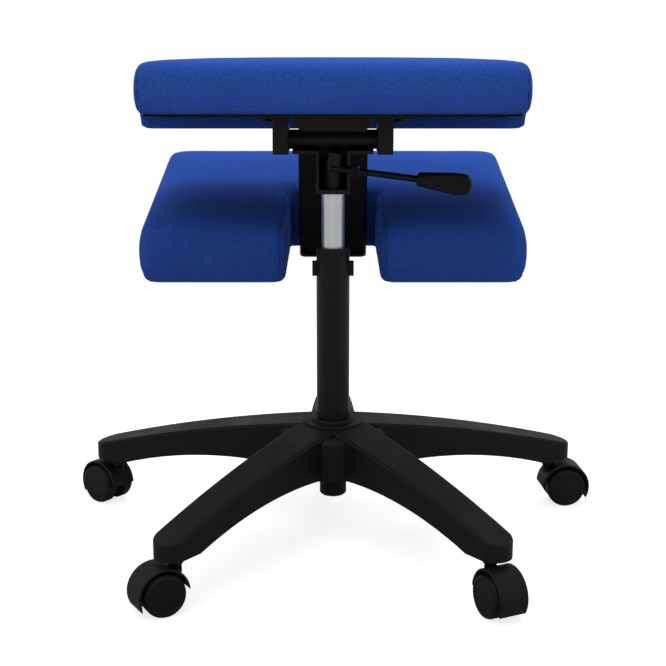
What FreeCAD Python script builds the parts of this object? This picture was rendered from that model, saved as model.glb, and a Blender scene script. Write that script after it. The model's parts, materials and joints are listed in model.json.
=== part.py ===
# Kneeling chair: a tilted seat and a notched knee pad on a gas lift, over a five-leg base on casters.
# Millimetres. The origin is on the floor under the column, +Y is the front, +Z is up.
import FreeCAD, Part
import math
import os
import Sketcher
from types import SimpleNamespace

Vector = FreeCAD.Vector
Rotation = FreeCAD.Rotation
Placement = FreeCAD.Placement

# Driving dimensions
SIZES = [
    ("column_foot", 105.0, "top of the taper down to the lowest edge of the column"),
    ("column_reach", 209.0, "top of the taper up to the top of the guide bush"),
    ("column_diameter", 40.0, "outside of the column tube"),
    ("column_foot_diameter", 33.0, "small end of the column's taper"),
    ("column_wall", 2.0, "wall of the column tube"),
    ("taper_above", 8.0, "top of the legs at the hub to the top of the column's taper"),
    ("taper_length", 92.0, "length of the column's taper"),
    ("bearing_plate", 4.0, "bottom plate that carries the thrust bearing"),
    ("bush_length", 60.0, "guide bush inside the tube"),
    ("bush_flange", 2.0, "rim of the guide bush on the tube"),
    ("lug_drop", 18.0, "bush top to the top of its lugs"),
    ("lug_height", 17.0, "height of a bush lug"),
    ("lug_width", 10.0, "width of a bush lug"),
    ("lug_reach", 25.0, "column axis to the face of a lug"),
    ("cylinder_diameter", 28.0, "chromed pressure tube"),
    ("cylinder_wall", 1.5, "wall of the pressure tube"),
    ("cylinder_hidden", 161.0, "pressure tube below the bush top"),
    ("lift_exposed", 67.6, "chromed tube that shows between bush and socket"),
    ("gland_length", 14.0, "seal at the lower end of the pressure tube"),
    ("cylinder_plug", 4.0, "solid top of the pressure tube below the socket"),
    ("rod_diameter", 12.0, "piston rod"),
    ("rod_end_diameter", 10.0, "thinner foot of the piston rod"),
    ("piston_rise", 80.0, "lower end of the pressure tube to the piston"),
    ("piston_length", 10.0, "length of the piston"),
    ("race_thickness", 2.5, "washer of the thrust bearing"),
    ("race_diameter", 24.0, "outside of the thrust bearing"),
    ("ball_diameter", 4.9, "ball of the thrust bearing"),
    ("clip_thickness", 1.5, "retaining clip under the bearing plate"),
    ("clip_groove", 1.0, "depth of the clip's groove in the rod"),
    ("clip_reach", 3.0, "clip beyond the rod's foot"),
    ("rod_above", 0.5, "lowest edge of the column to the foot of the rod"),
    ("pin_diameter", 8.0, "valve button of the pressure tube"),
    ("pin_show", 8.9, "valve button above the pressure tube"),
    ("pin_depth", 31.0, "valve button inside the pressure tube"),
    ("pin_dome", 6.0, "radius of the button's domed end"),
    ("caster_circle", 296.0, "column axis to a caster stem"),
    ("leg_past", 26.0, "caster stem to the end of a leg"),
    ("leg_root", 6.0, "how far a leg reaches into the hub's socket tube"),
    ("leg_root_width", 56.4, "width of a leg at the hub"),
    ("leg_end_width", 40.0, "width of a leg at its rounded end"),
    ("hub_rise", 89.5, "caster boss up to the top of the legs at the hub"),
    ("tip_height", 20.0, "height of a leg's end"),
    ("leg_arch", 6.5, "rise of a leg's top over its chord"),
    ("leg_skin", 5.0, "top wall of a leg"),
    ("leg_wall", 4.0, "side wall of a leg"),
    ("leg_edge_radius", 3.0, "rounded top edge of a leg"),
    ("wall_rise", 26.0, "caster boss up to a side wall's lower edge at the hub"),
    ("boss_height", 8.5, "caster boss below a leg's end"),
    ("wall_arch", 16.0, "rise of the side wall's lower edge over its chord"),
    ("keel_width", 8.0, "centre rib under a leg"),
    ("keel_inside", 4.0, "rise of the keel's lower edge above the side walls'"),
    ("hub_foot_rise", 15.5, "caster boss up to the lower edge of the hub's socket tube"),
    ("hub_cap", 10.0, "flat ring of the hub round its socket tube"),
    ("web_radius", 66.0, "column axis to the web between two legs"),
    ("web_edge", 5.0, "bevelled edge of the web"),
    ("web_drop", 2.2, "web below the legs' tops"),
    ("boss_gap", 4.5, "top of the wheels to the caster boss"),
    ("boss_diameter", 17.5, "caster boss under a leg's end"),
    ("hub_wall", 8.0, "column to the outside of the hub's socket tube"),
    ("collar_width", 6.0, "column to the outside of the bead round its foot"),
    ("collar_height", 4.0, "bead above the legs' top"),
    ("sleeve_wall", 2.5, "steel sleeve between column and hub"),
    ("sleeve_foot", 2.0, "hub's lower edge up to the steel sleeve"),
    ("sleeve_top", 5.0, "top of the taper down to the steel sleeve"),
    ("socket_depth", 22.0, "caster socket in a leg"),
    ("stem_diameter", 11.0, "caster stem in its socket"),
    ("neck_diameter", 14.0, "caster stem below the leg"),
    ("stem_foot_diameter", 8.0, "caster stem in the hood"),
    ("stem_foot_rise", 4.0, "axle's height up to the foot of a stem"),
    ("stem_end", 2.0, "end of a stem to the end of its socket's wall"),
    ("grip_ring", 3.0, "height of the spring ring's groove in a stem"),
    ("grip_groove", 1.0, "depth of the spring ring's groove in a stem"),
    ("wheel_radius", 25.0, "caster wheel"),
    ("wheel_inner", 6.2, "caster centre to the inner face of a wheel"),
    ("wheel_outer", 21.6, "caster centre to the outer face of a wheel"),
    ("wheel_rim", 4.0, "rounded rim of a wheel"),
    ("caster_trail", 21.0, "stem axis to axle"),
    ("axle_diameter", 6.0, "caster axle"),
    ("axle_cover", 3.0, "outer face of a wheel to the end of the axle"),
    ("disc_edge", 1.0, "flat edge round the sunk disc of a wheel"),
    ("disc_recess", 0.8, "depth of the sunk disc of a wheel"),
    ("hood_gap", 3.5, "tread to the inside of the hood"),
    ("hood_wall", 2.5, "wall of the hood"),
    ("hood_width", 36.0, "width of the hood"),
    ("hood_neck", 4.5, "collar round the stem on the hood"),
    ("neck_gap", 6.3, "leg's boss down to the hood's seat"),
    ("socket_side", 0.4, "taper sleeve to the side walls of the box"),
    ("socket_rear", 25.0, "column axis to the open rear of the box"),
    ("socket_ahead", 2.0, "taper sleeve to the front wall of the box"),
    ("socket_height", 47.4, "height of the box"),
    ("socket_floor", 5.0, "bottom flange of the box"),
    ("steel", 4.0, "sheet thickness of box, plate, arm and brackets"),
    ("cone_length", 38.0, "tapered top of the pressure tube"),
    ("cone_drop", 0.75, "radius that the taper takes away"),
    ("cone_sleeve", 2.0, "wall of the taper sleeve at its mouth"),
    ("plate_width", 95.0, "top plate of the mechanism"),
    ("plate_past", 2.0, "knee arm to the front of the top plate"),
    ("slot_front", 10.0, "column axis to the front of the plate's slot"),
    ("tube_diameter", 23.0, "cross tube"),
    ("tube_wall", 2.5, "wall of the cross tube"),
    ("tube_length", 102.0, "length of the cross tube"),
    ("pivot_back", 8.0, "column axis back to the seat pivot"),
    ("bolt_diameter", 10.0, "pivot bolt"),
    ("bolt_flats", 17.0, "pivot bolt's head and nut across flats"),
    ("bolt_head", 6.0, "height of the pivot bolt's head"),
    ("bolt_past", 2.0, "end of the pivot bolt past its nut"),
    ("nut_height", 8.0, "height of the pivot nut"),
    ("bush_width", 14.0, "pivot bush in an end of the cross tube"),
    ("washer_thickness", 1.2, "washer between tube and bracket"),
    ("washer_diameter", 27.0, "washer between tube and bracket"),
    ("lever_gap", 5.6, "side of the box to the lever's pivot pin"),
    ("lever_rise", 28.4, "bottom of the box to the lever's pivot"),
    ("lever_stand", 5.0, "rear of the box back to the lever rod"),
    ("lever_angle", 7.3, "droop of the lever in degrees"),
    ("lever_pin_diameter", 6.0, "pivot pin of the lever"),
    ("lever_pin_head", 2.0, "rim and thickness of the pivot pin's head"),
    ("lever_rod_diameter", 8.0, "lever rod"),
    ("lever_inner", 29.5, "lever pivot to the rod's inner end"),
    ("lever_outer", 73.0, "lever pivot to the grip"),
    ("lever_eye", 12.0, "eye of the lever rod"),
    ("blade_width", 14.0, "blade over the valve button"),
    ("blade_thickness", 2.5, "blade over the valve button"),
    ("grip_length", 65.0, "lever grip"),
    ("grip_root", 17.0, "height of the grip at its root"),
    ("grip_end", 25.5, "height of the grip near its end"),
    ("grip_flat", 15.0, "thickness of the grip"),
    ("arm_width", 84.0, "knee arm"),
    ("arm_gap", 5.0, "front of the box to the knee arm"),
    ("arm_top_depth", 35.0, "depth of the arm's channel at the plate"),
    ("arm_foot_depth", 20.0, "depth of the arm's channel at its foot"),
    ("arm_foot_gap", 2.0, "arm's front to the notch's inner end"),
    ("knee_forward", 118.0, "column axis to the notch's inner end"),
    ("knee_drop", 137.0, "top plate down to the knee pad's underside"),
    ("knee_tilt", 13.8, "rise of the knee pad to the front in degrees"),
    ("knee_foot_length", 130.0, "foot plate ahead of the notch's inner end"),
    ("knee_rear_width", 472.0, "knee pad at its rear"),
    ("knee_front_width", 443.0, "knee pad at its front"),
    ("knee_rear", 109.0, "notch's inner end back to the pad's rear edge"),
    ("knee_front", 167.0, "notch's inner end to the pad's front edge"),
    ("notch_mouth", 118.0, "notch at the pad's rear edge"),
    ("notch_end", 108.0, "notch at its inner end"),
    ("knee_edge", 60.0, "thickness of the knee pad at its edge"),
    ("knee_crown", 11.0, "rise of the knee pad in the middle"),
    ("knee_spread", 52.0, "run over which the knee pad rises from its sides to its middle"),
    ("seat_lift", 27.9, "seat pivot to the seat's underside"),
    ("seat_tilt", 6.8, "drop of the seat to the front in degrees"),
    ("seat_rear_width", 428.0, "seat at its rear"),
    ("seat_front_width", 494.0, "seat at its front"),
    ("seat_rear", 163.0, "seat pivot back to the rear edge"),
    ("seat_front", 150.0, "seat pivot to the front edge"),
    ("seat_edge", 52.8, "thickness of the seat at its edge"),
    ("seat_crown", 10.0, "rise of the seat in the middle"),
    ("seat_spread", 170.0, "run over which the seat rises from its sides to its middle"),
    ("cushion_corner", 14.0, "rounded corner of a cushion"),
    ("cushion_tuck", 7.0, "how far a cushion's side draws in below"),
    ("cushion_roll", 26.0, "how far the front and rear edges of a cushion roll over"),
    ("lip_depth", 17.0, "seat's front lip below its board"),
    ("notch_corner", 10.0, "rounded corner of the notch"),
    ("board_thickness", 12.0, "plywood board in a cushion"),
    ("board_inset", 16.0, "cushion's edge to the board"),
    ("dust_cover", 1.0, "black cloth under a board"),
    ("bracket_gap", 1.5, "end of the cross tube to a seat bracket"),
    ("bracket_rear", 34.0, "seat pivot back to the bracket's rear flange"),
    ("bracket_front", 50.0, "seat pivot to the bracket's front"),
    ("bracket_drop", 17.7, "seat pivot down to the bracket's lower edge"),
    ("bracket_flange", 17.5, "width of the bracket's rear flange"),
    ("bracket_reach", 35.0, "width of the bracket's top flange"),
    ("channel_width", 90.0, "levelling channel under the seat"),
    ("channel_rear", 38.4, "seat pivot back to the channel's rear end"),
    ("channel_front", 31.0, "seat pivot to the channel's front end"),
    ("channel_rear_depth", 19.0, "depth of the channel at its rear end"),
    ("channel_front_depth", 10.5, "depth of the channel at its front end"),
    ("channel_chamfer", 0.45, "cut lower corners of the channel, as a share of its height"),
    ("channel_wall", 2.0, "sheet of the levelling channel"),
    ("screw_diameter", 6.0, "seat screws"),
    ("screw_head", 12.0, "head of a seat screw"),
    ("screw_edge", 8.5, "outer edge of a bracket to its screws"),
    ("screw_rear_edge", 19.0, "rear edge of a bracket to its screw"),
    ("screw_front_edge", 14.0, "front edge of a bracket to its screw"),
    ("knee_bolt_diameter", 8.0, "knee bolts"),
    ("knee_bolt_head", 15.0, "head of a knee bolt"),
    ("knee_bolt_edge", 16.0, "side of the foot plate to a bolt"),
    ("knee_bolt_near", 30.0, "notch's inner end to the rear bolts"),
    ("knee_bolt_front", 25.0, "front of the foot plate to the front bolts"),
    ("head_height", 3.0, "height of a screw or bolt head"),
    ("fit", 0.05, "radial clearance of a shaft in its hole"),
    ("slack", 0.3, "clearance between pieces that move past each other"),
]

# Shares of a leg's length, from the hub: the sections of its hollow, and the ends of its keel and side walls
BAY_SHARES = (0.1, 0.45, 0.8)
KEEL_SHARE = 0.82
WALL_SHARE = 0.85
# Sections of a cushion from below: shares of its edge, its crown, the side tuck, the side's rise to the middle and
# the roll over the ends.
# Without a share of the roll, the ends are drawn in as far as the sides.
CUSHION_LEVELS = (
    (0.0, 0.0, 1.0, 0.0, None),
    (0.06, 0.0, 0.55, 0.0, None),
    (0.16, 0.0, 0.25, 0.0, None),
    (0.32, 0.0, 0.06, 0.0, None),
    (0.5, 0.0, 0.0, 0.0, None),
    (0.7, 0.0, 0.05, 0.0, 0.04),
    (0.88, 0.0, 0.25, 0.0, 0.17),
    (1.0, 0.0, 0.64, 0.0, 0.38),
    (1.0, 0.29, 1.07, 0.0, 0.55),
    (1.0, 0.46, 1.2, 0.039, 0.75),
    (1.0, 0.6, 1.2, 0.127, 1.0),
    (1.0, 0.82, 1.2, 0.39, 1.6),
    (1.0, 0.94, 1.2, 0.745, 2.1),
    (1.0, 1.0, 1.2, 1.0, 2.6),
)
# Sections of the seat's front lip from above: shares of its depth, and of the side tuck in front and behind
LIP_LEVELS = (
    (1.0, 0.3, 0.0),
    (-0.5, 0.3, 0.0),
    (-0.85, 0.5, 0.2),
    (-1.0, 0.85, 0.5),
)
# How far the knee pad's notch rolls over, as a share of its sides
NOTCH_SHARE = 0.4
LEG_COUNT = 5
FIRST_LEG_DEGREES = 18.0
BALL_COUNT = 6
# How far each caster has turned in the photograph, measured from +X to the trailing axle, leg by leg from +X
CASTER_TURNS = (7.0, 120.0, 140.0, 210.0, 296.0)

doc = FreeCAD.newDocument("kneeling_chair")
pieces = {}


class Size:
    """A length that keeps its number together with the sheet formula that gives it."""

    def __init__(self, value, formula):
        self.value = float(value)
        self.formula = formula

    def __add__(self, other):
        other = as_size(other)
        return Size(self.value + other.value, f"({self.formula} + {other.formula})")

    def __sub__(self, other):
        other = as_size(other)
        return Size(self.value - other.value, f"({self.formula} - {other.formula})")

    def __mul__(self, other):
        other = as_size(other)
        return Size(self.value * other.value, f"({self.formula} * {other.formula})")

    def __truediv__(self, other):
        other = as_size(other)
        return Size(self.value / other.value, f"({self.formula} / {other.formula})")

    def __neg__(self):
        return Size(-self.value, f"(0 - {self.formula})")


def as_size(number):
    """Turns a plain number into a Size."""
    if isinstance(number, Size):
        return number
    return Size(number, f"({float(number)!r})")


def make_sheet():
    """Writes the driving dimensions to the sheet and returns them as named Sizes."""
    sheet = doc.addObject("Spreadsheet::Sheet", "sizes")
    for row, (name, value, meaning) in enumerate(SIZES, start=1):
        sheet.set(f"A{row}", name)
        sheet.set(f"B{row}", str(value))
        sheet.set(f"C{row}", meaning)
        sheet.setAlias(f"B{row}", name)
    doc.recompute()
    return SimpleNamespace(**{name: Size(sheet.get(name), f"sizes.{name}") for name, _, _ in SIZES})


dim = make_sheet()


def cosine(size_or_degrees):
    """Cosine of an angle in degrees."""
    return math.cos(math.radians(as_size(size_or_degrees).value))


def sine(size_or_degrees):
    """Sine of an angle in degrees."""
    return math.sin(math.radians(as_size(size_or_degrees).value))


def square_root(size):
    """Square root of a Size."""
    return Size(math.sqrt(size.value), f"sqrt({size.formula})")


def bind(item, path, size):
    """Ties one property of a document object to the sheet."""
    item.setExpression(path, as_size(size).formula)


def add_body(label):
    """Starts a sub-part."""
    body = doc.addObject("PartDesign::Body", label)
    body.Label = label
    pieces[label] = body
    return body


def place(body, x=0, y=0, z=0, rotation=None):
    """Puts a sub-part in its place, tied to the sheet."""
    where = [as_size(value) for value in (x, y, z)]
    body.Placement = Placement(Vector(*[size.value for size in where]), rotation or Rotation())
    for axis, size in zip("xyz", where):
        bind(body, f"Placement.Base.{axis}", size)


def origin_feature(body, role):
    """Finds a plane or an axis of the sub-part's own origin."""
    return next(item for item in body.Origin.OriginFeatures if item.Role == role)


def add_sketch(body, role, height=0):
    """Starts a sketch on one of the sub-part's own planes, moved along the plane's normal by height."""
    sketch = body.newObject("Sketcher::SketchObject", f"{body.Label}_sketch")
    sketch.AttachmentSupport = [(origin_feature(body, role), "")]
    sketch.MapMode = "FlatFace"
    height = as_size(height)
    sketch.AttachmentOffset = Placement(Vector(0, 0, height.value), Rotation())
    bind(sketch, "AttachmentOffset.Base.z", height)
    return sketch


def arc_through(start, end, radius, hollow):
    """Arc under a half circle; its centre is left of the way, or right of it where the outline is hollow."""
    middle = (start + end) * 0.5
    chord = end - start
    reach = math.sqrt(max(radius ** 2 - chord.Length ** 2 / 4, 0.0))
    left = Vector(-chord.y, chord.x, 0).normalize()
    centre = middle - left * reach if hollow else middle + left * reach
    first, last = (end, start) if hollow else (start, end)
    begin = math.atan2(first.y - centre.y, first.x - centre.x)
    finish = math.atan2(last.y - centre.y, last.x - centre.x)
    if finish < begin:
        finish += 2 * math.pi
    return Part.ArcOfCircle(Part.Circle(centre, Vector(0, 0, 1), radius), begin, finish)


def draw_outline(sketch, *corners):
    """Draws a closed outline, anticlockwise. A corner is (x, y), or (x, y, radius) and (x, y, radius, "hollow")
    where the stretch that leads to it is an arc. Every corner is tied to the sheet."""
    spots = [(as_size(corner[0]), as_size(corner[1])) for corner in corners]
    points = [Vector(x.value, y.value, 0) for x, y in spots]
    constraints = []
    formulas = []
    ends = []
    base = sketch.GeometryCount
    for index, corner in enumerate(corners):
        before = points[index - 1]
        here = points[index]
        number = base + index
        if len(corner) == 2:
            sketch.addGeometry(Part.LineSegment(before, here))
            ends.append((1, 2))
            continue
        radius = as_size(corner[2])
        hollow = len(corner) == 4
        sketch.addGeometry(arc_through(before, here, radius.value, hollow))
        ends.append((2, 1) if hollow else (1, 2))
        constraints.append(Sketcher.Constraint("Radius", number, radius.value))
        formulas.append(radius.formula)
    for index, (x, y) in enumerate(spots):
        number = base + index
        after = base + (index + 1) % len(corners)
        finish = ends[index][1]
        constraints.append(Sketcher.Constraint("DistanceX", number, finish, x.value))
        formulas.append(x.formula)
        constraints.append(Sketcher.Constraint("DistanceY", number, finish, y.value))
        formulas.append(y.formula)
        constraints.append(
            Sketcher.Constraint("Coincident", number, finish, after, ends[(index + 1) % len(corners)][0]))
        formulas.append(None)
    add_bound_constraints(sketch, constraints, formulas)


def draw_circle(sketch, x, y, radius):
    """Draws a circle tied to the sheet."""
    x, y, radius = as_size(x), as_size(y), as_size(radius)
    number = sketch.GeometryCount
    sketch.addGeometry(Part.Circle(Vector(x.value, y.value, 0), Vector(0, 0, 1), radius.value))
    constraints = [
        Sketcher.Constraint("DistanceX", number, 3, x.value),
        Sketcher.Constraint("DistanceY", number, 3, y.value),
        Sketcher.Constraint("Radius", number, radius.value),
    ]
    add_bound_constraints(sketch, constraints, [x.formula, y.formula, radius.formula])


def add_bound_constraints(sketch, constraints, formulas):
    """Adds constraints together and ties those that have a formula."""
    first = sketch.ConstraintCount
    sketch.addConstraint(constraints)
    for index, formula in enumerate(formulas):
        if formula is not None:
            sketch.setExpression(f"Constraints[{first + index}]", formula)


def draw_box(sketch, left, low, right, high):
    """Draws a rectangle."""
    draw_outline(sketch, (left, low), (right, low), (right, high), (left, high))


def finish_feature(body, feature):
    """Makes a feature the body's result and stops if it failed or changed nothing."""
    body.Tip = feature
    doc.recompute()
    if not feature.isValid() or feature.Shape.isNull():
        raise RuntimeError(f"{body.Label}: {feature.Name} failed, {feature.getStatusString()}")
    before = feature.BaseFeature.Shape.Volume if feature.BaseFeature else 0.0
    if abs(feature.Shape.Volume - before) < 1e-6:
        raise RuntimeError(f"{body.Label}: {feature.Name} changed nothing")
    return feature


def extrude(body, sketch, length, kind="Pad", both_ways=False, backwards=False):
    """Pads or pockets a sketch by a length tied to the sheet."""
    feature = body.newObject(f"PartDesign::{kind}", f"{body.Label}_{kind.lower()}")
    feature.Profile = sketch
    feature.SideType = "Symmetric" if both_ways else "One side"
    feature.Reversed = backwards
    feature.Length = as_size(length).value
    bind(feature, "Length", length)
    return finish_feature(body, feature)


def cut(body, sketch, length, both_ways=False, backwards=False):
    """Pockets a sketch."""
    return extrude(body, sketch, length, "Pocket", both_ways, backwards)


def turn(body, sketch, kind="Revolution", axis="V_Axis"):
    """Turns a sketch right round the sketch's own vertical axis."""
    feature = body.newObject(f"PartDesign::{kind}", f"{body.Label}_{kind.lower()}")
    feature.Profile = sketch
    feature.ReferenceAxis = (sketch, [axis])
    feature.Angle = 360
    return finish_feature(body, feature)


def loft(body, sketches, kind="AdditiveLoft", ruled=False):
    """Lofts a solid, or a cut, through sketches in order."""
    feature = body.newObject(f"PartDesign::{kind}", f"{body.Label}_{kind.lower()}")
    feature.Profile = sketches[0]
    feature.Sections = sketches[1:]
    feature.Ruled = ruled
    return finish_feature(body, feature)


def pattern_round(body, count, originals=None):
    """Repeats features, or else the whole body, round the vertical axis."""
    feature = body.newObject("PartDesign::PolarPattern", f"{body.Label}_pattern")
    if originals:
        feature.Originals = originals
    else:
        feature.TransformMode = "Whole shape"
    feature.Axis = (origin_feature(body, "Z_Axis"), [""])
    feature.Angle = 360
    feature.Occurrences = count
    return finish_feature(body, feature)


def pick_edges(shape, wanted):
    """Names of the edges that a test picks by their points."""
    names = []
    for number, edge in enumerate(shape.Edges, start=1):
        first, last = edge.ParameterRange
        points = [edge.valueAt(first + (last - first) * part) for part in (0.0, 0.5, 1.0)]
        if wanted(points):
            names.append(f"Edge{number}")
    return names


def dress_edges(body, kind, size_name, size, wanted):
    """Fillets or chamfers the edges of the body's result that a test picks."""
    base = body.Tip
    feature = body.newObject(f"PartDesign::{kind}", f"{body.Label}_{kind.lower()}")
    feature.Base = (base, pick_edges(base.Shape, wanted))
    setattr(feature, size_name, as_size(size).value)
    bind(feature, size_name, size)
    return finish_feature(body, feature)


def round_edges(body, radius, wanted):
    """Fillets picked edges."""
    return dress_edges(body, "Fillet", "Radius", radius, wanted)


def bevel_edges(body, width, wanted):
    """Chamfers picked edges."""
    return dress_edges(body, "Chamfer", "Size", width, wanted)


def ring(body, inner, outer, low, high):
    """Adds a ring round the vertical axis."""
    sketch = add_sketch(body, "XZ_Plane")
    draw_box(sketch, inner, low, outer, high)
    return turn(body, sketch)


# Heights and places that several pieces share
boss_bottom = dim.wheel_radius * 2 + dim.boss_gap
wall_low_end = boss_bottom + dim.boss_height
leg_top_hub = boss_bottom + dim.hub_rise
wall_low_hub = boss_bottom + dim.wall_rise
hub_low = boss_bottom + dim.hub_foot_rise
taper_top = leg_top_hub + dim.taper_above
column_bottom = taper_top - dim.column_foot
column_top = taper_top + dim.column_reach
sleeve_radius = dim.cylinder_diameter / 2 + dim.cone_sleeve
socket_width = (sleeve_radius + dim.steel + dim.socket_side) * 2
socket_front = sleeve_radius + dim.steel + dim.socket_ahead
arm_top_back = socket_front + dim.arm_gap
plate_front = arm_top_back + dim.arm_top_depth + dim.plate_past
lever_side = socket_width / 2 + dim.lever_gap
lever_back = dim.socket_rear + dim.lever_stand
hub_diameter = dim.column_diameter + dim.hub_wall * 2
collar_diameter = dim.column_diameter + dim.collar_width * 2
leg_top_tip = wall_low_end + dim.tip_height
leg_tip = dim.caster_circle + dim.leg_past
screw_side = dim.tube_length / 2 + dim.bracket_gap + dim.bracket_reach - dim.screw_edge
screw_rear = dim.bracket_rear - dim.screw_rear_edge
screw_front = dim.bracket_front - dim.screw_front_edge
knee_bolt_side = dim.arm_width / 2 - dim.knee_bolt_edge
knee_bolt_far = dim.knee_foot_length - dim.knee_bolt_front
channel_rear_low = dim.seat_lift - dim.channel_rear_depth
channel_front_low = dim.seat_lift - dim.channel_front_depth
socket_bottom = column_top + dim.lift_exposed
plate_bottom = socket_bottom + dim.socket_height
plate_top = plate_bottom + dim.steel
pivot_height = plate_top + dim.tube_diameter / 2
cylinder_bottom = column_top - dim.cylinder_hidden
cone_top = socket_bottom + dim.cone_length
cylinder_radius = dim.cylinder_diameter / 2
column_radius = dim.column_diameter / 2
column_bore = column_radius - dim.column_wall
foot_radius = dim.column_foot_diameter / 2
taper_bottom = taper_top - dim.taper_length
taper_slope = (column_radius - foot_radius) / dim.taper_length
plate_low = column_bottom + dim.bearing_plate
bearing_low = plate_low + dim.bearing_plate
ball_height = bearing_low + dim.race_thickness + dim.ball_diameter / 2 + dim.fit
bearing_high = ball_height + dim.ball_diameter / 2 + dim.fit
shoulder = bearing_high + dim.race_thickness
rod_radius = dim.rod_diameter / 2
rod_end_radius = dim.rod_end_diameter / 2
piston_low = cylinder_bottom + dim.piston_rise
piston_high = piston_low + dim.piston_length
pin_top = cone_top + dim.pin_show
knee_height = plate_bottom - dim.knee_drop
seat_turn = Rotation(Vector(1, 0, 0), -dim.seat_tilt.value)
knee_turn = Rotation(Vector(1, 0, 0), dim.knee_tilt.value)


def column_radius_at(height):
    """Outside radius of the column's taper at a height."""
    return column_radius - (taper_top - height) * taper_slope


def place_on_seat(body):
    """Seat pieces are drawn round the seat's pivot axis and tilted with the seat."""
    place(body, 0, -dim.pivot_back, pivot_height, seat_turn)


def place_on_knee_pad(body):
    """Knee pieces are drawn on the underside of the knee pad at the notch's inner end."""
    place(body, 0, dim.knee_forward, knee_height, knee_turn)


# Five-leg base
leg_start = hub_diameter / 2 - dim.leg_root
leg_span = leg_tip - leg_start
sleeve_low = hub_low + dim.sleeve_foot
sleeve_high = taper_top - dim.sleeve_top


def leg_top(part):
    """Height of a leg's top at a part of its length, from 0 at the hub to 1 at the end."""
    part = as_size(part)
    chord = leg_top_hub + (leg_top_tip - leg_top_hub) * part
    return chord + dim.leg_arch * (part * 4 * (as_size(1) - part))


def arc_radius(run, fall, rise):
    """Radius of a shallow arc from its chord's run and fall and its rise over the chord."""
    return (run * run + fall * fall) / (rise * 8) + rise / 2


def make_star_base():
    body = add_body("star_base")
    top_radius = arc_radius(leg_span, leg_top_hub - leg_top_tip, dim.leg_arch)
    wall_end = leg_start + leg_span * WALL_SHARE
    wall_radius = arc_radius(wall_end - leg_start, wall_low_hub - wall_low_end, dim.wall_arch)
    side = add_sketch(body, "XZ_Plane")
    draw_outline(
        side,
        (leg_start, wall_low_hub),
        (wall_end, wall_low_end, wall_radius, "hollow"),
        (leg_tip, wall_low_end),
        (leg_tip, leg_top_tip),
        (leg_start, leg_top_hub, top_radius),
    )
    extrude(body, side, dim.leg_root_width, both_ways=True)
    trim_leg_sides(body)
    round_leg_top(body, top_radius)
    hollow_leg(body)
    add_keel(body)
    add_caster_boss(body)
    pattern_round(body, LEG_COUNT)
    add_hub(body)
    place(body, 0, 0, 0, Rotation(Vector(0, 0, 1), FIRST_LEG_DEGREES))


def leg_half_width(part):
    """Half a leg's width at a part of its length."""
    return dim.leg_root_width / 2 + (dim.leg_end_width - dim.leg_root_width) / 2 * part


def trim_leg_sides(body):
    """Tapers the leg in plan and rounds its end."""
    end_radius = dim.leg_end_width / 2
    end_centre = leg_tip - end_radius
    outside = dim.leg_root_width
    plan = add_sketch(body, "XY_Plane")
    draw_outline(
        plan,
        (leg_tip, 0, end_radius * 1.0001, "hollow"),
        (leg_tip + end_radius, 0),
        (leg_tip + end_radius, outside),
        (leg_start, outside),
        (leg_start, leg_half_width(0)),
        (end_centre, end_radius),
    )
    cut(body, plan, leg_top_hub * 3, both_ways=True)
    other = add_sketch(body, "XY_Plane")
    draw_outline(
        other,
        (leg_tip, 0),
        (end_centre, -end_radius, end_radius * 1.0001, "hollow"),
        (leg_start, -leg_half_width(0)),
        (leg_start, -outside),
        (leg_tip + end_radius, -outside),
        (leg_tip + end_radius, 0),
    )
    cut(body, other, leg_top_hub * 3, both_ways=True)


def round_leg_top(body, top_radius):
    """Rounds the long top edges and the end of the leg's top face."""
    start = Vector(leg_start.value, 0, leg_top_hub.value)
    end = Vector(leg_tip.value, 0, leg_top_tip.value)
    arc = arc_through(Vector(end.x, end.z, 0), Vector(start.x, start.z, 0), top_radius.value, False)
    centre = arc.Center

    def on_top(points):
        away = [math.hypot(point.x - centre.x, point.z - centre.y) for point in points]
        return all(abs(value - top_radius.value) < 0.01 for value in away) and points[1].x > leg_start.value + 1

    round_edges(body, dim.leg_edge_radius, on_top)


def hollow_leg(body):
    """Opens the underside of the leg and the ring between hub tube and legs."""
    sections = []
    for part in BAY_SHARES:
        sketch = add_sketch(body, "YZ_Plane", leg_start + leg_span * part)
        half = leg_half_width(part) - dim.leg_wall
        draw_box(sketch, -half, 0, half, leg_top(part) - dim.leg_skin)
        sections.append(sketch)
    loft(body, sections, "SubtractiveLoft")
    groove = add_sketch(body, "XZ_Plane")
    reach = dim.leg_root_width * 0.8
    draw_box(groove, leg_start - 1, 0, reach, leg_top(BAY_SHARES[0]) - dim.leg_skin)
    turn(body, groove, "Groove")


def add_keel(body):
    """Adds the deep rib along the middle of the leg."""
    end = leg_start + leg_span * KEEL_SHARE
    radius = arc_radius(end - leg_start, wall_low_hub - wall_low_end, dim.wall_arch + dim.keel_inside)
    sketch = add_sketch(body, "XZ_Plane")
    draw_outline(
        sketch,
        (leg_start, wall_low_hub),
        (end, wall_low_end, radius, "hollow"),
        (end, leg_top(KEEL_SHARE) - dim.leg_skin / 2),
        (leg_start, leg_top(0) - dim.leg_skin),
    )
    extrude(body, sketch, dim.keel_width, both_ways=True)


def add_caster_boss(body):
    """Adds the round boss under the leg's end and bores its socket."""
    boss = add_sketch(body, "XY_Plane", boss_bottom)
    draw_circle(boss, dim.caster_circle, 0, dim.boss_diameter / 2)
    extrude(body, boss, dim.socket_depth)
    socket = add_sketch(body, "XY_Plane", boss_bottom)
    draw_circle(socket, dim.caster_circle, 0, dim.stem_diameter / 2 + dim.fit)
    cut(body, socket, dim.socket_depth - 1, backwards=True)


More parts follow.
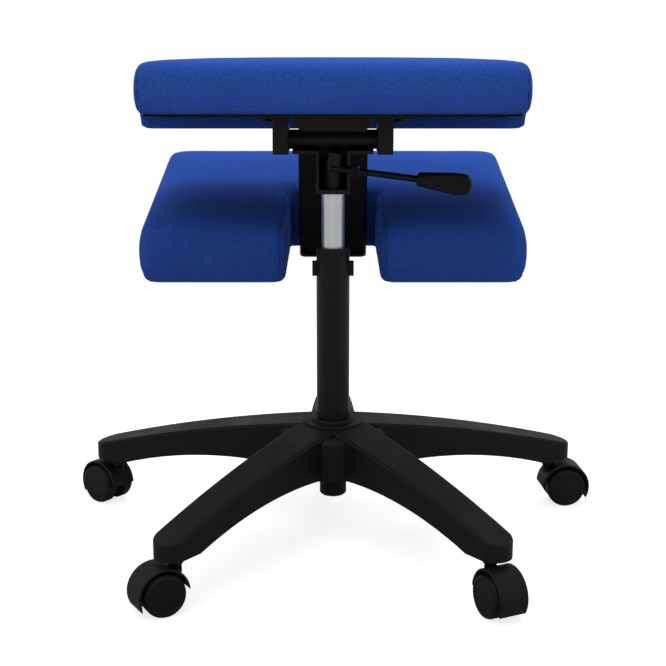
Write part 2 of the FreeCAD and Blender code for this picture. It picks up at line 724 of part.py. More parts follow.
def add_hub(body):
    """Adds the socket tube with its bead and bores the seat of the steel sleeve."""
    hub_radius = hub_diameter / 2
    collar = collar_diameter / 2
    bead = dim.collar_height / 2 + 1
    bead_low = leg_top_hub - 2
    tube = add_sketch(body, "XZ_Plane")
    gap = dim.sleeve_wall + dim.fit * 2
    draw_outline(
        tube,
        (column_radius_at(hub_low) + gap, hub_low),
        (hub_radius - 2, hub_low),
        (hub_radius, leg_top_hub - dim.leg_skin),
        (hub_radius + 4, bead_low),
        (collar, bead_low),
        (collar, bead_low + bead),
        (collar - bead * 0.3, bead_low + bead * 1.7),
        (collar - bead, bead_low + bead * 2),
        (column_radius_at(sleeve_high) + gap + 0.2, bead_low + bead * 2),
        (column_radius_at(sleeve_high) + gap, sleeve_high),
    )
    turn(body, tube)
    add_web(body, hub_radius)
    bore = add_sketch(body, "XZ_Plane")
    draw_outline(
        bore,
        (0, 0),
        (column_radius_at(hub_low) + gap, 0),
        (column_radius_at(hub_low) + gap, hub_low),
        (column_radius_at(sleeve_high) + gap, sleeve_high),
        (column_radius_at(sleeve_high) + gap, leg_top_hub * 1.5),
        (0, leg_top_hub * 1.5),
    )
    turn(body, bore, "Groove")


def add_web(body, hub_radius):
    """Adds the flat ring round the hub's top and the webs that join neighbouring legs."""
    web = dim.web_radius
    inner = hub_radius - dim.sleeve_foot
    web_top = leg_top((web - leg_start) / leg_span) - dim.web_drop
    web_low = wall_low_hub + dim.keel_inside
    cap = hub_radius + dim.hub_cap
    cap_top = leg_top_hub + dim.slack
    sketch = add_sketch(body, "XZ_Plane")
    draw_outline(
        sketch,
        (inner, leg_top_hub - dim.leg_skin * 2),
        (web - dim.leg_wall, web_top - dim.leg_skin * 1.5),
        (web - dim.leg_wall, web_low),
        (web, web_low),
        (web, web_top - dim.web_edge),
        (web - dim.web_edge, web_top),
        (cap, leg_top((cap - leg_start) / leg_span) - dim.web_drop),
        (cap, cap_top - dim.web_drop / 2),
        (cap - dim.web_drop / 2, cap_top),
        (inner, cap_top),
    )
    turn(body, sketch)


def make_hub_sleeve():
    body = add_body("hub_sleeve")
    sketch = add_sketch(body, "XZ_Plane")
    low = column_radius_at(sleeve_low) + dim.fit
    high = column_radius_at(sleeve_high) + dim.fit
    draw_outline(
        sketch,
        (low, sleeve_low),
        (low + dim.sleeve_wall, sleeve_low),
        (high + dim.sleeve_wall, sleeve_high),
        (high, sleeve_high),
    )
    turn(body, sketch)
    place(body)


# Column and gas lift
def make_column_tube():
    body = add_body("column_tube")
    tube_top = column_top - dim.bush_flange
    foot_bore = foot_radius - dim.column_wall
    lip = dim.column_wall
    rod_hole = rod_end_radius + dim.fit
    sketch = add_sketch(body, "XZ_Plane")
    draw_outline(
        sketch,
        (foot_radius - lip, column_bottom),
        (foot_radius, column_bottom + lip),
        (foot_radius, taper_bottom),
        (column_radius, taper_top),
        (column_radius, tube_top),
        (column_bore, tube_top),
        (column_bore, taper_top),
        (foot_bore, taper_bottom),
        (foot_bore, bearing_low),
        (rod_hole, bearing_low),
        (rod_hole, plate_low),
        (foot_bore - dim.fit, plate_low),
        (foot_bore - dim.fit, column_bottom),
    )
    turn(body, sketch)
    window = add_sketch(body, "YZ_Plane")
    half = dim.lug_width / 2 + dim.fit
    high = column_top - dim.lug_drop
    draw_box(window, -half, high - dim.lug_height - dim.fit, half, high + dim.fit)
    cut(body, window, dim.column_diameter * 2, both_ways=True)
    place(body)


def make_guide_bush():
    body = add_body("guide_bush")
    high = column_top - dim.lug_drop
    lugs = add_sketch(body, "YZ_Plane")
    draw_box(lugs, -dim.lug_width / 2, high - dim.lug_height, dim.lug_width / 2, high)
    extrude(body, lugs, dim.lug_reach * 2, both_ways=True)
    flange_low = column_top - dim.bush_flange
    sleeve = add_sketch(body, "XZ_Plane")
    draw_outline(
        sleeve,
        (0, column_top - dim.bush_length),
        (column_bore - dim.fit, column_top - dim.bush_length),
        (column_bore - dim.fit, flange_low),
        (column_radius, flange_low),
        (column_radius - 0.6, column_top),
        (0, column_top),
    )
    turn(body, sleeve)
    bore = add_sketch(body, "XY_Plane")
    draw_circle(bore, 0, 0, cylinder_radius + dim.fit)
    cut(body, bore, column_top * 3, both_ways=True)
    place(body)


def make_thrust_bearing():
    outer = dim.race_diameter / 2
    lower = add_body("bearing_race_lower")
    ring(lower, rod_end_radius + dim.slack, outer, bearing_low, bearing_low + dim.race_thickness)
    place(lower)
    upper = add_body("bearing_race_upper")
    ring(upper, rod_end_radius + dim.fit, outer, bearing_high, shoulder)
    place(upper)
    balls = []
    pitch = (rod_end_radius + outer) / 2
    for index in range(BALL_COUNT):
        angle = 360.0 / BALL_COUNT * index
        ball = doc.addObject("Part::Sphere", f"ball_{index}")
        bind(ball, "Radius", dim.ball_diameter / 2)
        place(ball, pitch * cosine(angle), pitch * sine(angle), ball_height)
        balls.append(ball)
    group = doc.addObject("Part::Compound", "bearing_balls")
    group.Label = "bearing_balls"
    group.Links = balls
    pieces["bearing_balls"] = group


def make_piston_rod():
    body = add_body("piston_rod")
    clip_high = plate_low - dim.slack
    clip_low = clip_high - dim.clip_thickness - dim.fit
    waist = rod_end_radius - dim.clip_groove
    sketch = add_sketch(body, "XZ_Plane")
    draw_outline(
        sketch,
        (0, column_bottom + dim.rod_above),
        (rod_end_radius, column_bottom + dim.rod_above),
        (rod_end_radius, clip_low),
        (waist, clip_low),
        (waist, clip_high),
        (rod_end_radius, clip_high),
        (rod_end_radius, shoulder),
        (rod_radius, shoulder),
        (rod_radius, piston_low),
        (rod_end_radius, piston_low),
        (rod_end_radius, piston_high),
        (0, piston_high),
    )
    turn(body, sketch)
    place(body)
    clip = add_body("rod_clip")
    clip_outer = rod_end_radius + dim.clip_reach
    ring(clip, waist + dim.fit, clip_outer, clip_low + dim.fit / 2, clip_high - dim.fit / 2)
    place(clip)
    piston = add_body("rod_piston")
    bore = cylinder_radius - dim.cylinder_wall
    ring(piston, rod_end_radius + dim.fit, bore - dim.fit * 1.5, piston_low, piston_high)
    place(piston)


def make_gas_cylinder():
    body = add_body("gas_cylinder")
    bore = cylinder_radius - dim.cylinder_wall
    ceiling = socket_bottom - dim.cylinder_plug
    pin_hole = dim.pin_diameter / 2 + dim.fit
    small = cylinder_radius - dim.cone_drop
    sketch = add_sketch(body, "XZ_Plane")
    draw_outline(
        sketch,
        (bore, cylinder_bottom),
        (cylinder_radius, cylinder_bottom),
        (cylinder_radius, socket_bottom),
        (small, cone_top - 1),
        (small - 1, cone_top),
        (pin_hole, cone_top),
        (pin_hole, ceiling),
        (bore, ceiling),
    )
    turn(body, sketch)
    place(body)
    gland = add_body("cylinder_gland")
    ring(gland, rod_radius + dim.fit, bore - dim.fit, cylinder_bottom, cylinder_bottom + dim.gland_length)
    place(gland)


def make_release_pin():
    body = add_body("release_pin")
    radius = dim.pin_diameter / 2
    # The dome's rim lies below its top by the dome's rise
    rim = pin_top - dim.pin_dome + square_root(dim.pin_dome * dim.pin_dome - radius * radius)
    sketch = add_sketch(body, "XZ_Plane")
    draw_outline(
        sketch,
        (0, cone_top - dim.pin_depth),
        (radius, cone_top - dim.pin_depth),
        (radius, rim),
        (0, pin_top, dim.pin_dome),
    )
    turn(body, sketch)
    place(body)


# Casters
def make_caster_stems():
    body = add_body("caster_stems")
    hood_top = boss_bottom - dim.neck_gap
    ring_height = boss_bottom + dim.socket_depth / 2
    stem_top = boss_bottom + dim.socket_depth - dim.stem_end
    levels = [
        (dim.stem_foot_diameter / 2, dim.wheel_radius + dim.stem_foot_rise, hood_top),
        (dim.neck_diameter / 2, hood_top, boss_bottom),
        (dim.stem_diameter / 2, boss_bottom, ring_height),
        (dim.stem_diameter / 2 - dim.grip_groove, ring_height, ring_height + dim.grip_ring),
        (dim.stem_diameter / 2, ring_height + dim.grip_ring, stem_top),
    ]
    for radius, low, high in levels:
        sketch = add_sketch(body, "XY_Plane", low)
        draw_circle(sketch, dim.caster_circle, 0, radius)
        extrude(body, sketch, high - low)
    pattern_round(body, LEG_COUNT)
    place(body, 0, 0, 0, Rotation(Vector(0, 0, 1), FIRST_LEG_DEGREES))
    rings = add_body("stem_grip_rings")
    sketch = add_sketch(rings, "XY_Plane", ring_height + dim.fit)
    draw_circle(sketch, dim.caster_circle, 0, dim.stem_diameter / 2)
    draw_circle(sketch, dim.caster_circle, 0, dim.stem_diameter / 2 - dim.grip_groove + dim.fit)
    extrude(rings, sketch, dim.grip_ring - dim.fit * 2)
    pattern_round(rings, LEG_COUNT)
    place(rings, 0, 0, 0, Rotation(Vector(0, 0, 1), FIRST_LEG_DEGREES))


def place_on_caster(body, index, forward=0, height=0, half_turn=False):
    """Caster pieces are drawn with the stem at the origin and the axle trailing along +X."""
    leg = FIRST_LEG_DEGREES + 360.0 / LEG_COUNT * index
    course = CASTER_TURNS[index]
    x = dim.caster_circle * cosine(leg) + as_size(forward) * cosine(course)
    y = dim.caster_circle * sine(leg) + as_size(forward) * sine(course)
    place(body, x, y, height, Rotation(Vector(0, 0, 1), course + (180 if half_turn else 0)))


def hood_point(radius, degrees):
    """A point round the axle, as seen from the side of a caster."""
    return dim.caster_trail + radius * cosine(degrees), dim.wheel_radius + radius * sine(degrees)


def make_caster_hood(index):
    body = add_body(f"caster_hood_{index + 1}")
    inner = dim.wheel_radius + dim.hood_gap
    outer = inner + dim.hood_wall
    hood_top = boss_bottom - dim.neck_gap - dim.slack
    rear, front = -30.0, 178.0
    shell = add_sketch(body, "XZ_Plane")
    draw_outline(
        shell,
        hood_point(outer, rear),
        (*hood_point(outer, 90), outer),
        (*hood_point(outer, front), outer),
        hood_point(inner, front - 8),
        (*hood_point(inner, 90), inner, "hollow"),
        (*hood_point(inner, rear + 14), inner, "hollow"),
    )
    extrude(body, shell, dim.hood_width, both_ways=True)
    bevel_edges(body, dim.hood_wall / 2, lambda points: hood_rim(points, outer.value))
    middle = inner + dim.hood_wall / 2
    web_half = dim.wheel_inner - dim.slack * 1.5
    web = add_sketch(body, "XZ_Plane")
    draw_outline(
        web,
        hood_point(middle, rear + 14),
        (*hood_point(middle, 90), middle),
        (*hood_point(middle, front - 10), middle),
        (dim.caster_trail - dim.axle_diameter * 1.5, dim.wheel_radius - dim.axle_diameter),
        (dim.caster_trail + dim.axle_diameter * 1.5, dim.wheel_radius - dim.axle_diameter),
    )
    extrude(body, web, web_half * 2, both_ways=True)
    neck = add_sketch(body, "XY_Plane", hood_top - dim.hood_neck)
    draw_circle(neck, 0, 0, dim.neck_diameter / 2)
    extrude(body, neck, dim.hood_neck)
    seat = add_sketch(body, "XY_Plane", hood_top)
    draw_circle(seat, 0, 0, dim.neck_diameter / 2 + dim.slack)
    cut(body, seat, outer, backwards=True)
    bore = add_sketch(body, "XY_Plane", dim.wheel_radius + dim.stem_foot_rise - 1)
    draw_circle(bore, 0, 0, dim.stem_foot_diameter / 2 + dim.fit)
    cut(body, bore, hood_top, backwards=True)
    axle_hole = add_sketch(body, "XZ_Plane")
    draw_circle(axle_hole, dim.caster_trail, dim.wheel_radius, dim.axle_diameter / 2 + dim.fit)
    cut(body, axle_hole, dim.hood_width * 2, both_ways=True)
    place_on_caster(body, index)


def hood_rim(points, outer):
    """Picks the two curved outer edges at the sides of the hood."""
    away = [math.hypot(p.x - dim.caster_trail.value, p.z - dim.wheel_radius.value) for p in points]
    level = max(p.y for p in points) - min(p.y for p in points) < 0.01
    return level and all(abs(value - outer) < 0.01 for value in away)


def make_caster_axle(index):
    body = add_body(f"caster_axle_{index + 1}")
    sketch = add_sketch(body, "XZ_Plane")
    draw_circle(sketch, 0, 0, dim.axle_diameter / 2)
    extrude(body, sketch, (dim.wheel_outer - dim.axle_cover) * 2, both_ways=True)
    place_on_caster(body, index, dim.caster_trail, dim.wheel_radius)


def make_caster_wheel(index, side, half_turn):
    body = add_body(f"caster_wheel_{index + 1}_{side}")
    bore = dim.axle_diameter / 2 + dim.fit
    radius = dim.wheel_radius
    rim = dim.wheel_rim
    disc = dim.disc_recess
    disc_radius = radius - rim - dim.disc_edge
    axle_end = dim.wheel_outer - dim.axle_cover + dim.slack
    sketch = add_sketch(body, "XY_Plane")
    draw_outline(
        sketch,
        (bore, dim.wheel_inner),
        (radius - rim / 2, dim.wheel_inner),
        (radius, dim.wheel_inner + rim / 2),
        (radius, dim.wheel_outer - rim),
        (radius - rim * 0.3, dim.wheel_outer - rim * 0.3),
        (radius - rim, dim.wheel_outer),
        (disc_radius, dim.wheel_outer),
        (disc_radius - disc, dim.wheel_outer - disc),
        (0, dim.wheel_outer - disc),
        (0, axle_end),
        (bore, axle_end),
    )
    turn(body, sketch)
    place_on_caster(body, index, dim.caster_trail, dim.wheel_radius, half_turn)


# Mechanism on top of the lift
def make_socket_housing():
    body = add_body("socket_housing")
    half = socket_width / 2
    block = add_sketch(body, "XY_Plane", socket_bottom)
    corner = dim.steel
    draw_outline(
        block,
        (-half, -dim.socket_rear),
        (half, -dim.socket_rear),
        (half, socket_front - corner),
        (half - corner, socket_front, corner),
        (corner - half, socket_front),
        (-half, socket_front - corner, corner),
    )
    extrude(body, block, dim.socket_height)
    cavity = add_sketch(body, "XY_Plane", socket_bottom + dim.socket_floor)
    draw_box(cavity, dim.steel - half, -dim.socket_rear * 2, half - dim.steel, socket_front - dim.steel)
    cut(body, cavity, dim.socket_height, backwards=True)
    hole = add_sketch(body, "XY_Plane", socket_bottom)
    draw_circle(hole, 0, 0, cylinder_radius + dim.cone_sleeve + dim.fit * 2)
    cut(body, hole, dim.socket_floor, backwards=True)
    # Ear that holds the lever's pivot pin
    lever_height = socket_bottom + dim.lever_rise
    ear = add_sketch(body, "XZ_Plane", dim.socket_rear - dim.steel)
    ear_half = dim.lever_eye / 2
    draw_outline(
        ear,
        (half - dim.steel, lever_height - ear_half),
        (lever_side, lever_height - ear_half),
        (lever_side + ear_half, lever_height, ear_half * 1.001),
        (lever_side, lever_height + ear_half, ear_half * 1.001),
        (half - dim.steel, lever_height + ear_half),
    )
    extrude(body, ear, dim.steel)
    pin_hole = add_sketch(body, "XZ_Plane")
    draw_circle(pin_hole, lever_side, lever_height, dim.lever_pin_diameter / 2 + dim.fit)
    cut(body, pin_hole, dim.socket_rear * 3, both_ways=True)
    place(body)


def make_taper_sleeve():
    body = add_body("taper_sleeve")
    outer = cylinder_radius + dim.cone_sleeve + dim.fit
    high = cone_top - 2
    high_radius = cylinder_radius - dim.cone_drop + dim.fit * 2
    sketch = add_sketch(body, "XZ_Plane")
    draw_outline(
        sketch,
        (cylinder_radius + dim.fit, socket_bottom),
        (outer, socket_bottom),
        (outer, high),
        (high_radius, high),
    )
    turn(body, sketch)
    place(body)


def make_mechanism_plate():
    body = add_body("mechanism_plate")
    half = dim.plate_width / 2
    slot = socket_width / 2 - dim.steel
    corner = dim.steel
    sketch = add_sketch(body, "XY_Plane", plate_bottom)
    draw_outline(
        sketch,
        (slot, -dim.socket_rear),
        (half, -dim.socket_rear),
        (half, plate_front - corner),
        (half - corner, plate_front, corner),
        (corner - half, plate_front),
        (-half, plate_front - corner, corner),
        (-half, -dim.socket_rear),
        (-slot, -dim.socket_rear),
        (-slot, dim.slot_front - corner),
        (corner - slot, dim.slot_front, corner, "hollow"),
        (slot - corner, dim.slot_front),
        (slot, dim.slot_front - corner, corner, "hollow"),
    )
    extrude(body, sketch, dim.steel)
    place(body)


def add_pair(body, inner, outer, near, length):
    """Adds two rings on the seat's pivot axis, one to each side of the middle."""
    for sign in (1, -1):
        sketch = add_sketch(body, "YZ_Plane", near * sign)
        draw_circle(sketch, 0, 0, outer)
        draw_circle(sketch, 0, 0, inner)
        extrude(body, sketch, length, backwards=sign < 0)


def make_seat_pivot():
    half = dim.tube_length / 2
    bolt = dim.bolt_diameter / 2
    tube = add_body("cross_tube")
    sketch = add_sketch(tube, "YZ_Plane")
    draw_circle(sketch, 0, 0, dim.tube_diameter / 2)
    draw_circle(sketch, 0, 0, dim.tube_diameter / 2 - dim.tube_wall)
    extrude(tube, sketch, dim.tube_length, both_ways=True)
    place(tube, 0, -dim.pivot_back, pivot_height)
    bushes = add_body("pivot_bushes")
    outer = dim.tube_diameter / 2 - dim.tube_wall - dim.fit
    add_pair(bushes, bolt + dim.fit, outer, half - dim.bush_width, dim.bush_width)
    place(bushes, 0, -dim.pivot_back, pivot_height)
    washers = add_body("pivot_washers")
    near = half + dim.bracket_gap - dim.washer_thickness
    add_pair(washers, bolt + dim.fit, dim.washer_diameter / 2, near, dim.washer_thickness)
    place_on_seat(washers)
    face = half + dim.bracket_gap + dim.steel
    shaft = add_body("pivot_bolt")
    head = add_sketch(shaft, "YZ_Plane", -face - dim.bolt_head)
    draw_hexagon(head, dim.bolt_flats / 2)
    extrude(shaft, head, dim.bolt_head)
    shank = add_sketch(shaft, "YZ_Plane", -face)
    draw_circle(shank, 0, 0, bolt)
    extrude(shaft, shank, face * 2 + dim.nut_height + dim.bolt_past)
    place_on_seat(shaft)
    nut = add_body("pivot_nut")
    sketch = add_sketch(nut, "YZ_Plane", face)
    draw_hexagon(sketch, dim.bolt_flats / 2)
    draw_circle(sketch, 0, 0, bolt + dim.fit)
    extrude(nut, sketch, dim.nut_height)
    place_on_seat(nut)


def draw_hexagon(sketch, half_flats):
    """Draws a hexagon by half its width across flats."""
    reach = half_flats / cosine(30)
    draw_outline(sketch, *[(reach * cosine(60 * i), reach * sine(60 * i)) for i in range(6)])


# Height lever
lever_height = socket_bottom + dim.lever_rise
lever_turn = Rotation(Vector(0, 1, 0), dim.lever_angle.value)
dome_centre = pin_top - dim.pin_dome - lever_height
blade_low = (dome_centre * cosine(dim.lever_angle) - lever_side * sine(dim.lever_angle)
             + dim.pin_dome + dim.slack)


def make_lever():
    pin = add_body("lever_pin")
    radius = dim.lever_pin_diameter / 2
    eye_half = (lever_back - dim.socket_rear) - dim.slack * 1.5
    shank_end = lever_back + eye_half + dim.slack
    shank = add_sketch(pin, "XZ_Plane", dim.socket_rear - dim.steel)
    draw_circle(shank, lever_side, lever_height, radius)
    extrude(pin, shank, shank_end - dim.socket_rear + dim.steel)
    head = add_sketch(pin, "XZ_Plane", shank_end)
    draw_circle(head, lever_side, lever_height, radius + dim.lever_pin_head)
    extrude(pin, head, dim.lever_pin_head)
    place(pin)
    rod = add_body("lever_rod")
    rod_half = dim.lever_rod_diameter / 2
    bar = add_sketch(rod, "YZ_Plane", -dim.lever_inner)
    draw_circle(bar, 0, 0, rod_half)
    extrude(rod, bar, dim.lever_inner + dim.lever_outer + dim.grip_length * 0.6)
    eye = add_sketch(rod, "XZ_Plane")
    draw_circle(eye, 0, 0, dim.lever_eye / 2)
    extrude(rod, eye, eye_half * 2, both_ways=True)
    # Blade: a strip that rises from the rod's inner end and reaches forwards over the valve button
    middle = -lever_side
    left = middle - dim.blade_width / 2
    right = middle + dim.blade_width / 2
    riser = add_sketch(rod, "XZ_Plane")
    draw_box(riser, left, -rod_half / 2, right, blade_low + dim.blade_thickness)
    extrude(rod, riser, dim.blade_thickness * 2, both_ways=True)
    strip = add_sketch(rod, "XY_Plane", blade_low)
    tip = lever_back + dim.blade_width / 2
    draw_box(strip, left, -dim.blade_thickness, right, tip)
    extrude(rod, strip, dim.blade_thickness)
    hole = add_sketch(rod, "XZ_Plane")
    draw_circle(hole, 0, 0, radius + dim.fit)
    cut(rod, hole, dim.lever_eye * 3, both_ways=True)
    place(rod, lever_side, -lever_back, lever_height, lever_turn)


def make_lever_grip():
    body = add_body("lever_grip")
    root = dim.grip_root / 2
    end = dim.grip_end / 2
    start = dim.lever_outer
    length = dim.grip_length
    sketch = add_sketch(body, "XY_Plane")
    draw_outline(
        sketch,
        (start, 0),
        (start + length, 0),
        (start + length - end * 0.6, end, end * 1.1),
        (start + length * 0.55, end - 0.6, length * 2),
        (start + 4, root),
        (start, root - 3, 4.2),
    )
    turn(body, sketch, axis="H_Axis")
    flats = add_sketch(body, "XZ_Plane", dim.grip_flat / 2)
    draw_box(flats, start - 1, -end * 2, start + length + 1, end * 2)
    cut(body, flats, end * 2, backwards=True)
    other = add_sketch(body, "XZ_Plane", -dim.grip_flat / 2)
    draw_box(other, start - 1, -end * 2, start + length + 1, end * 2)
    cut(body, other, end * 2)
    bore = add_sketch(body, "YZ_Plane", start - 1)
    draw_circle(bore, 0, 0, dim.lever_rod_diameter / 2 + dim.fit)
    cut(body, bore, length * 0.6 + 1.2, backwards=True)
    place(body, lever_side, -lever_back, lever_height, lever_turn)


# Knee pad
def knee_plane(forward):
    """Height of the knee pad's underside plane at a distance ahead of the column."""
    slope = sine(dim.knee_tilt) / cosine(dim.knee_tilt)
    return knee_height + (forward - dim.knee_forward) * slope


def make_knee_arm():
    body = add_body("knee_arm")
    foot_front = dim.knee_forward - dim.arm_foot_gap
    foot_rear = foot_front - dim.arm_foot_depth
    top_front = arm_top_back + dim.arm_top_depth
    side = add_sketch(body, "YZ_Plane")
    draw_outline(
        side,
        (foot_rear, knee_plane(foot_rear)),
        (foot_front, knee_plane(foot_front)),
        (top_front, plate_bottom),
        (arm_top_back, plate_bottom),
    )
    extrude(body, side, dim.arm_width, both_ways=True)
    web = dim.steel * 1.1
    past = dim.arm_top_depth
    channel = add_sketch(body, "YZ_Plane")
    draw_outline(
        channel,
        (foot_rear + web, knee_plane(foot_rear + web) - 1),
        (foot_front + past, knee_plane(foot_front + past)),
        (top_front + past, plate_bottom + 1),
        (arm_top_back + web, plate_bottom + 1),
    )
    cut(body, channel, dim.arm_width - dim.steel * 2, both_ways=True)

    def on_rear(points):
        side_edge = all(abs(abs(p.x) - dim.arm_width.value / 2) < 0.01 for p in points)
        lean = (p_lean(points[0]), p_lean(points[-1]))
        return side_edge and all(abs(value) < 0.05 for value in lean)

    def p_lean(point):
        share = (plate_bottom.value - point.z) / (plate_bottom.value - knee_plane(foot_rear).value)
        return point.y - (arm_top_back.value + (foot_rear.value - arm_top_back.value) * share)

    round_edges(body, dim.steel * 0.9, on_rear)
    place(body)


def make_knee_foot():
    body = add_body("knee_foot")
    half = dim.arm_width / 2
    back = dim.arm_foot_depth + dim.arm_foot_gap + dim.steel
    corner = dim.steel * 2
    sketch = add_sketch(body, "XY_Plane", -dim.steel)
    draw_outline(
        sketch,
        (corner - half, -back, corner),
        (half - corner, -back),
        (half, corner - back, corner),
        (half, dim.knee_foot_length - corner),
        (half - corner, dim.knee_foot_length, corner),
        (corner - half, dim.knee_foot_length),
        (-half, dim.knee_foot_length - corner, corner),
        (-half, corner - back),
    )
    for x, y in knee_bolt_spots():
        draw_circle(sketch, x, y, dim.knee_bolt_diameter / 2 + dim.fit)
    extrude(body, sketch, dim.steel)
    place_on_knee_pad(body)


def knee_bolt_spots():
    """Places of the knee bolts."""
    side = knee_bolt_side
    return [(side * sign, y) for y in (dim.knee_bolt_near, knee_bolt_far) for sign in (1, -1)]


def draw_knee_outline(sketch, sides, ends):
    """Draws the notched plan of the knee pad, drawn in at its sides and at its front, rear and notch."""
    sides = as_size(sides)
    ends = as_size(ends)
    rear = -dim.knee_rear + ends
    front = dim.knee_front - ends
    rear_half = dim.knee_rear_width / 2 - sides
    front_half = dim.knee_front_width / 2 - sides
    notch = sides * NOTCH_SHARE
    mouth = dim.notch_mouth / 2 + notch
    end = dim.notch_end / 2 + notch
    end_y = notch
    corner = dim.cushion_corner
    small = dim.notch_corner
    lean = (front_half - rear_half) / (front - rear)
    flare = (mouth - end) / (end_y - rear)
    bend = small * 1.02
    draw_outline(
        sketch,
        (mouth + small, rear, bend),
        (rear_half - corner, rear),
        (rear_half + lean * corner, rear + corner, corner),
        (front_half - lean * corner, front - corner),
        (front_half - corner, front, corner),
        (corner - front_half, front),
        (lean * corner - front_half, front - corner, corner),
        (-rear_half - lean * corner, rear + corner),
        (corner - rear_half, rear, corner),
        (-mouth - small, rear),
        (flare * small - mouth, rear + small, bend),
        (-end - flare * small, end_y - small),
        (small - end, end_y, bend, "hollow"),
        (end - small, end_y),
        (end + flare * small, end_y - small, bend, "hollow"),
        (mouth - flare * small, rear + small),
    )


def draw_seat_outline(sketch, sides, ends):
    """Draws the tapered plan of the seat, drawn in at its sides and at its front and rear."""
    sides = as_size(sides)
    ends = as_size(ends)
    rear = -dim.seat_rear + ends
    front = dim.seat_front - ends
    rear_half = dim.seat_rear_width / 2 - sides
    front_half = dim.seat_front_width / 2 - sides
    corner = dim.cushion_corner
    lean = (front_half - rear_half) / (front - rear)
    bend = corner * 1.02
    draw_outline(
        sketch,
        (corner - rear_half, rear, bend),
        (rear_half - corner, rear),
        (rear_half + lean * corner, rear + corner, bend),
        (front_half - lean * corner, front - corner),
        (front_half - corner, front, bend),
        (corner - front_half, front),
        (lean * corner - front_half, front - corner, bend),
        (-rear_half - lean * corner, rear + corner),
    )


def make_cushion(label, draw_plan, low, edge, crown, spread):
    """Lofts a cushion: sides drawn in below, rolled front and rear edges and a swelling top."""
    body = add_body(label)
    tuck = dim.cushion_tuck
    roll = dim.cushion_roll
    sections = []
    for edge_share, crown_share, tuck_share, spread_share, roll_share in CUSHION_LEVELS:
        sketch = add_sketch(body, "XY_Plane", low + edge * edge_share + crown * crown_share)
        sides = tuck * tuck_share + spread * spread_share
        draw_plan(sketch, sides, sides if roll_share is None else roll * roll_share)
        sections.append(sketch)
    loft(body, sections, ruled=True)
    recess = add_sketch(body, "XY_Plane", low)
    draw_plan(recess, dim.board_inset, dim.board_inset)
    cut(body, recess, dim.dust_cover + dim.board_thickness + dim.slack, backwards=True)
    return body


def draw_lip_section(sketch, inset, thinning):
    """Draws the front strip of the seat's plan, drawn in at its front and sides and thinned from behind."""
    corner = dim.cushion_corner
    inner = dim.seat_front - dim.board_inset + dim.slack + thinning
    front = dim.seat_front - inset
    half = dim.seat_front_width / 2 - inset - corner
    rise = inner - front + corner
    reach = square_root(corner * corner - rise * rise)
    draw_outline(
        sketch,
        (-half - reach, inner, corner),
        (half + reach, inner),
        (half, front, corner),
        (-half, front),
    )


def add_front_lip(body):
    """Adds the rolled lip that hangs in front of the seat's board."""
    sections = []
    for height_share, inset_share, thinning_share in LIP_LEVELS:
        sketch = add_sketch(body, "XY_Plane", dim.seat_lift + dim.lip_depth * height_share)
        draw_lip_section(sketch, dim.cushion_tuck * inset_share, dim.cushion_tuck * thinning_share)
        sections.append(sketch)
    loft(body, sections, ruled=True)


def make_board(label, draw_plan, low, thickness, spots, radius):
    """Cuts a board or its cloth cover with the holes of its screws."""
    body = add_body(label)
    sketch = add_sketch(body, "XY_Plane", low)
    inset = dim.board_inset + dim.slack
    draw_plan(sketch, inset, inset)
    for x, y in spots:
        draw_circle(sketch, x, y, radius + dim.fit)
    extrude(body, sketch, thickness)
    return body


def make_fasteners(label, spots, radius, head_radius, head_low, length):
    """Makes one node of alike screws, heads down."""
    body = add_body(label)
    heads = add_sketch(body, "XY_Plane", head_low)
    shanks = add_sketch(body, "XY_Plane", head_low + dim.head_height)
    for x, y in spots:
        draw_circle(heads, x, y, head_radius)
        draw_circle(shanks, x, y, radius)
    extrude(body, heads, dim.head_height)
    extrude(body, shanks, length)
    return body


def make_knee_pad():
    spots = knee_bolt_spots()
    radius = dim.knee_bolt_diameter / 2
    place_on_knee_pad(make_board("knee_dust_cover", draw_knee_outline, 0, dim.dust_cover, spots, radius))
    board = make_board("knee_board", draw_knee_outline, dim.dust_cover, dim.board_thickness, spots, radius)
    place_on_knee_pad(board)
    place_on_knee_pad(make_cushion(
        "knee_cushion", draw_knee_outline, as_size(0), dim.knee_edge, dim.knee_crown, dim.knee_spread))
    head_low = -dim.steel - dim.head_height
    reach = dim.steel + dim.dust_cover + dim.board_thickness
    bolts = make_fasteners("knee_bolts", spots, radius, dim.knee_bolt_head / 2, head_low, reach)
    place_on_knee_pad(bolts)


# Seat
def screw_spots():
    """Places of the seat screws."""
    side = screw_side
    return [(side * sign, y) for y in (-screw_rear, screw_front) for sign in (1, -1)]


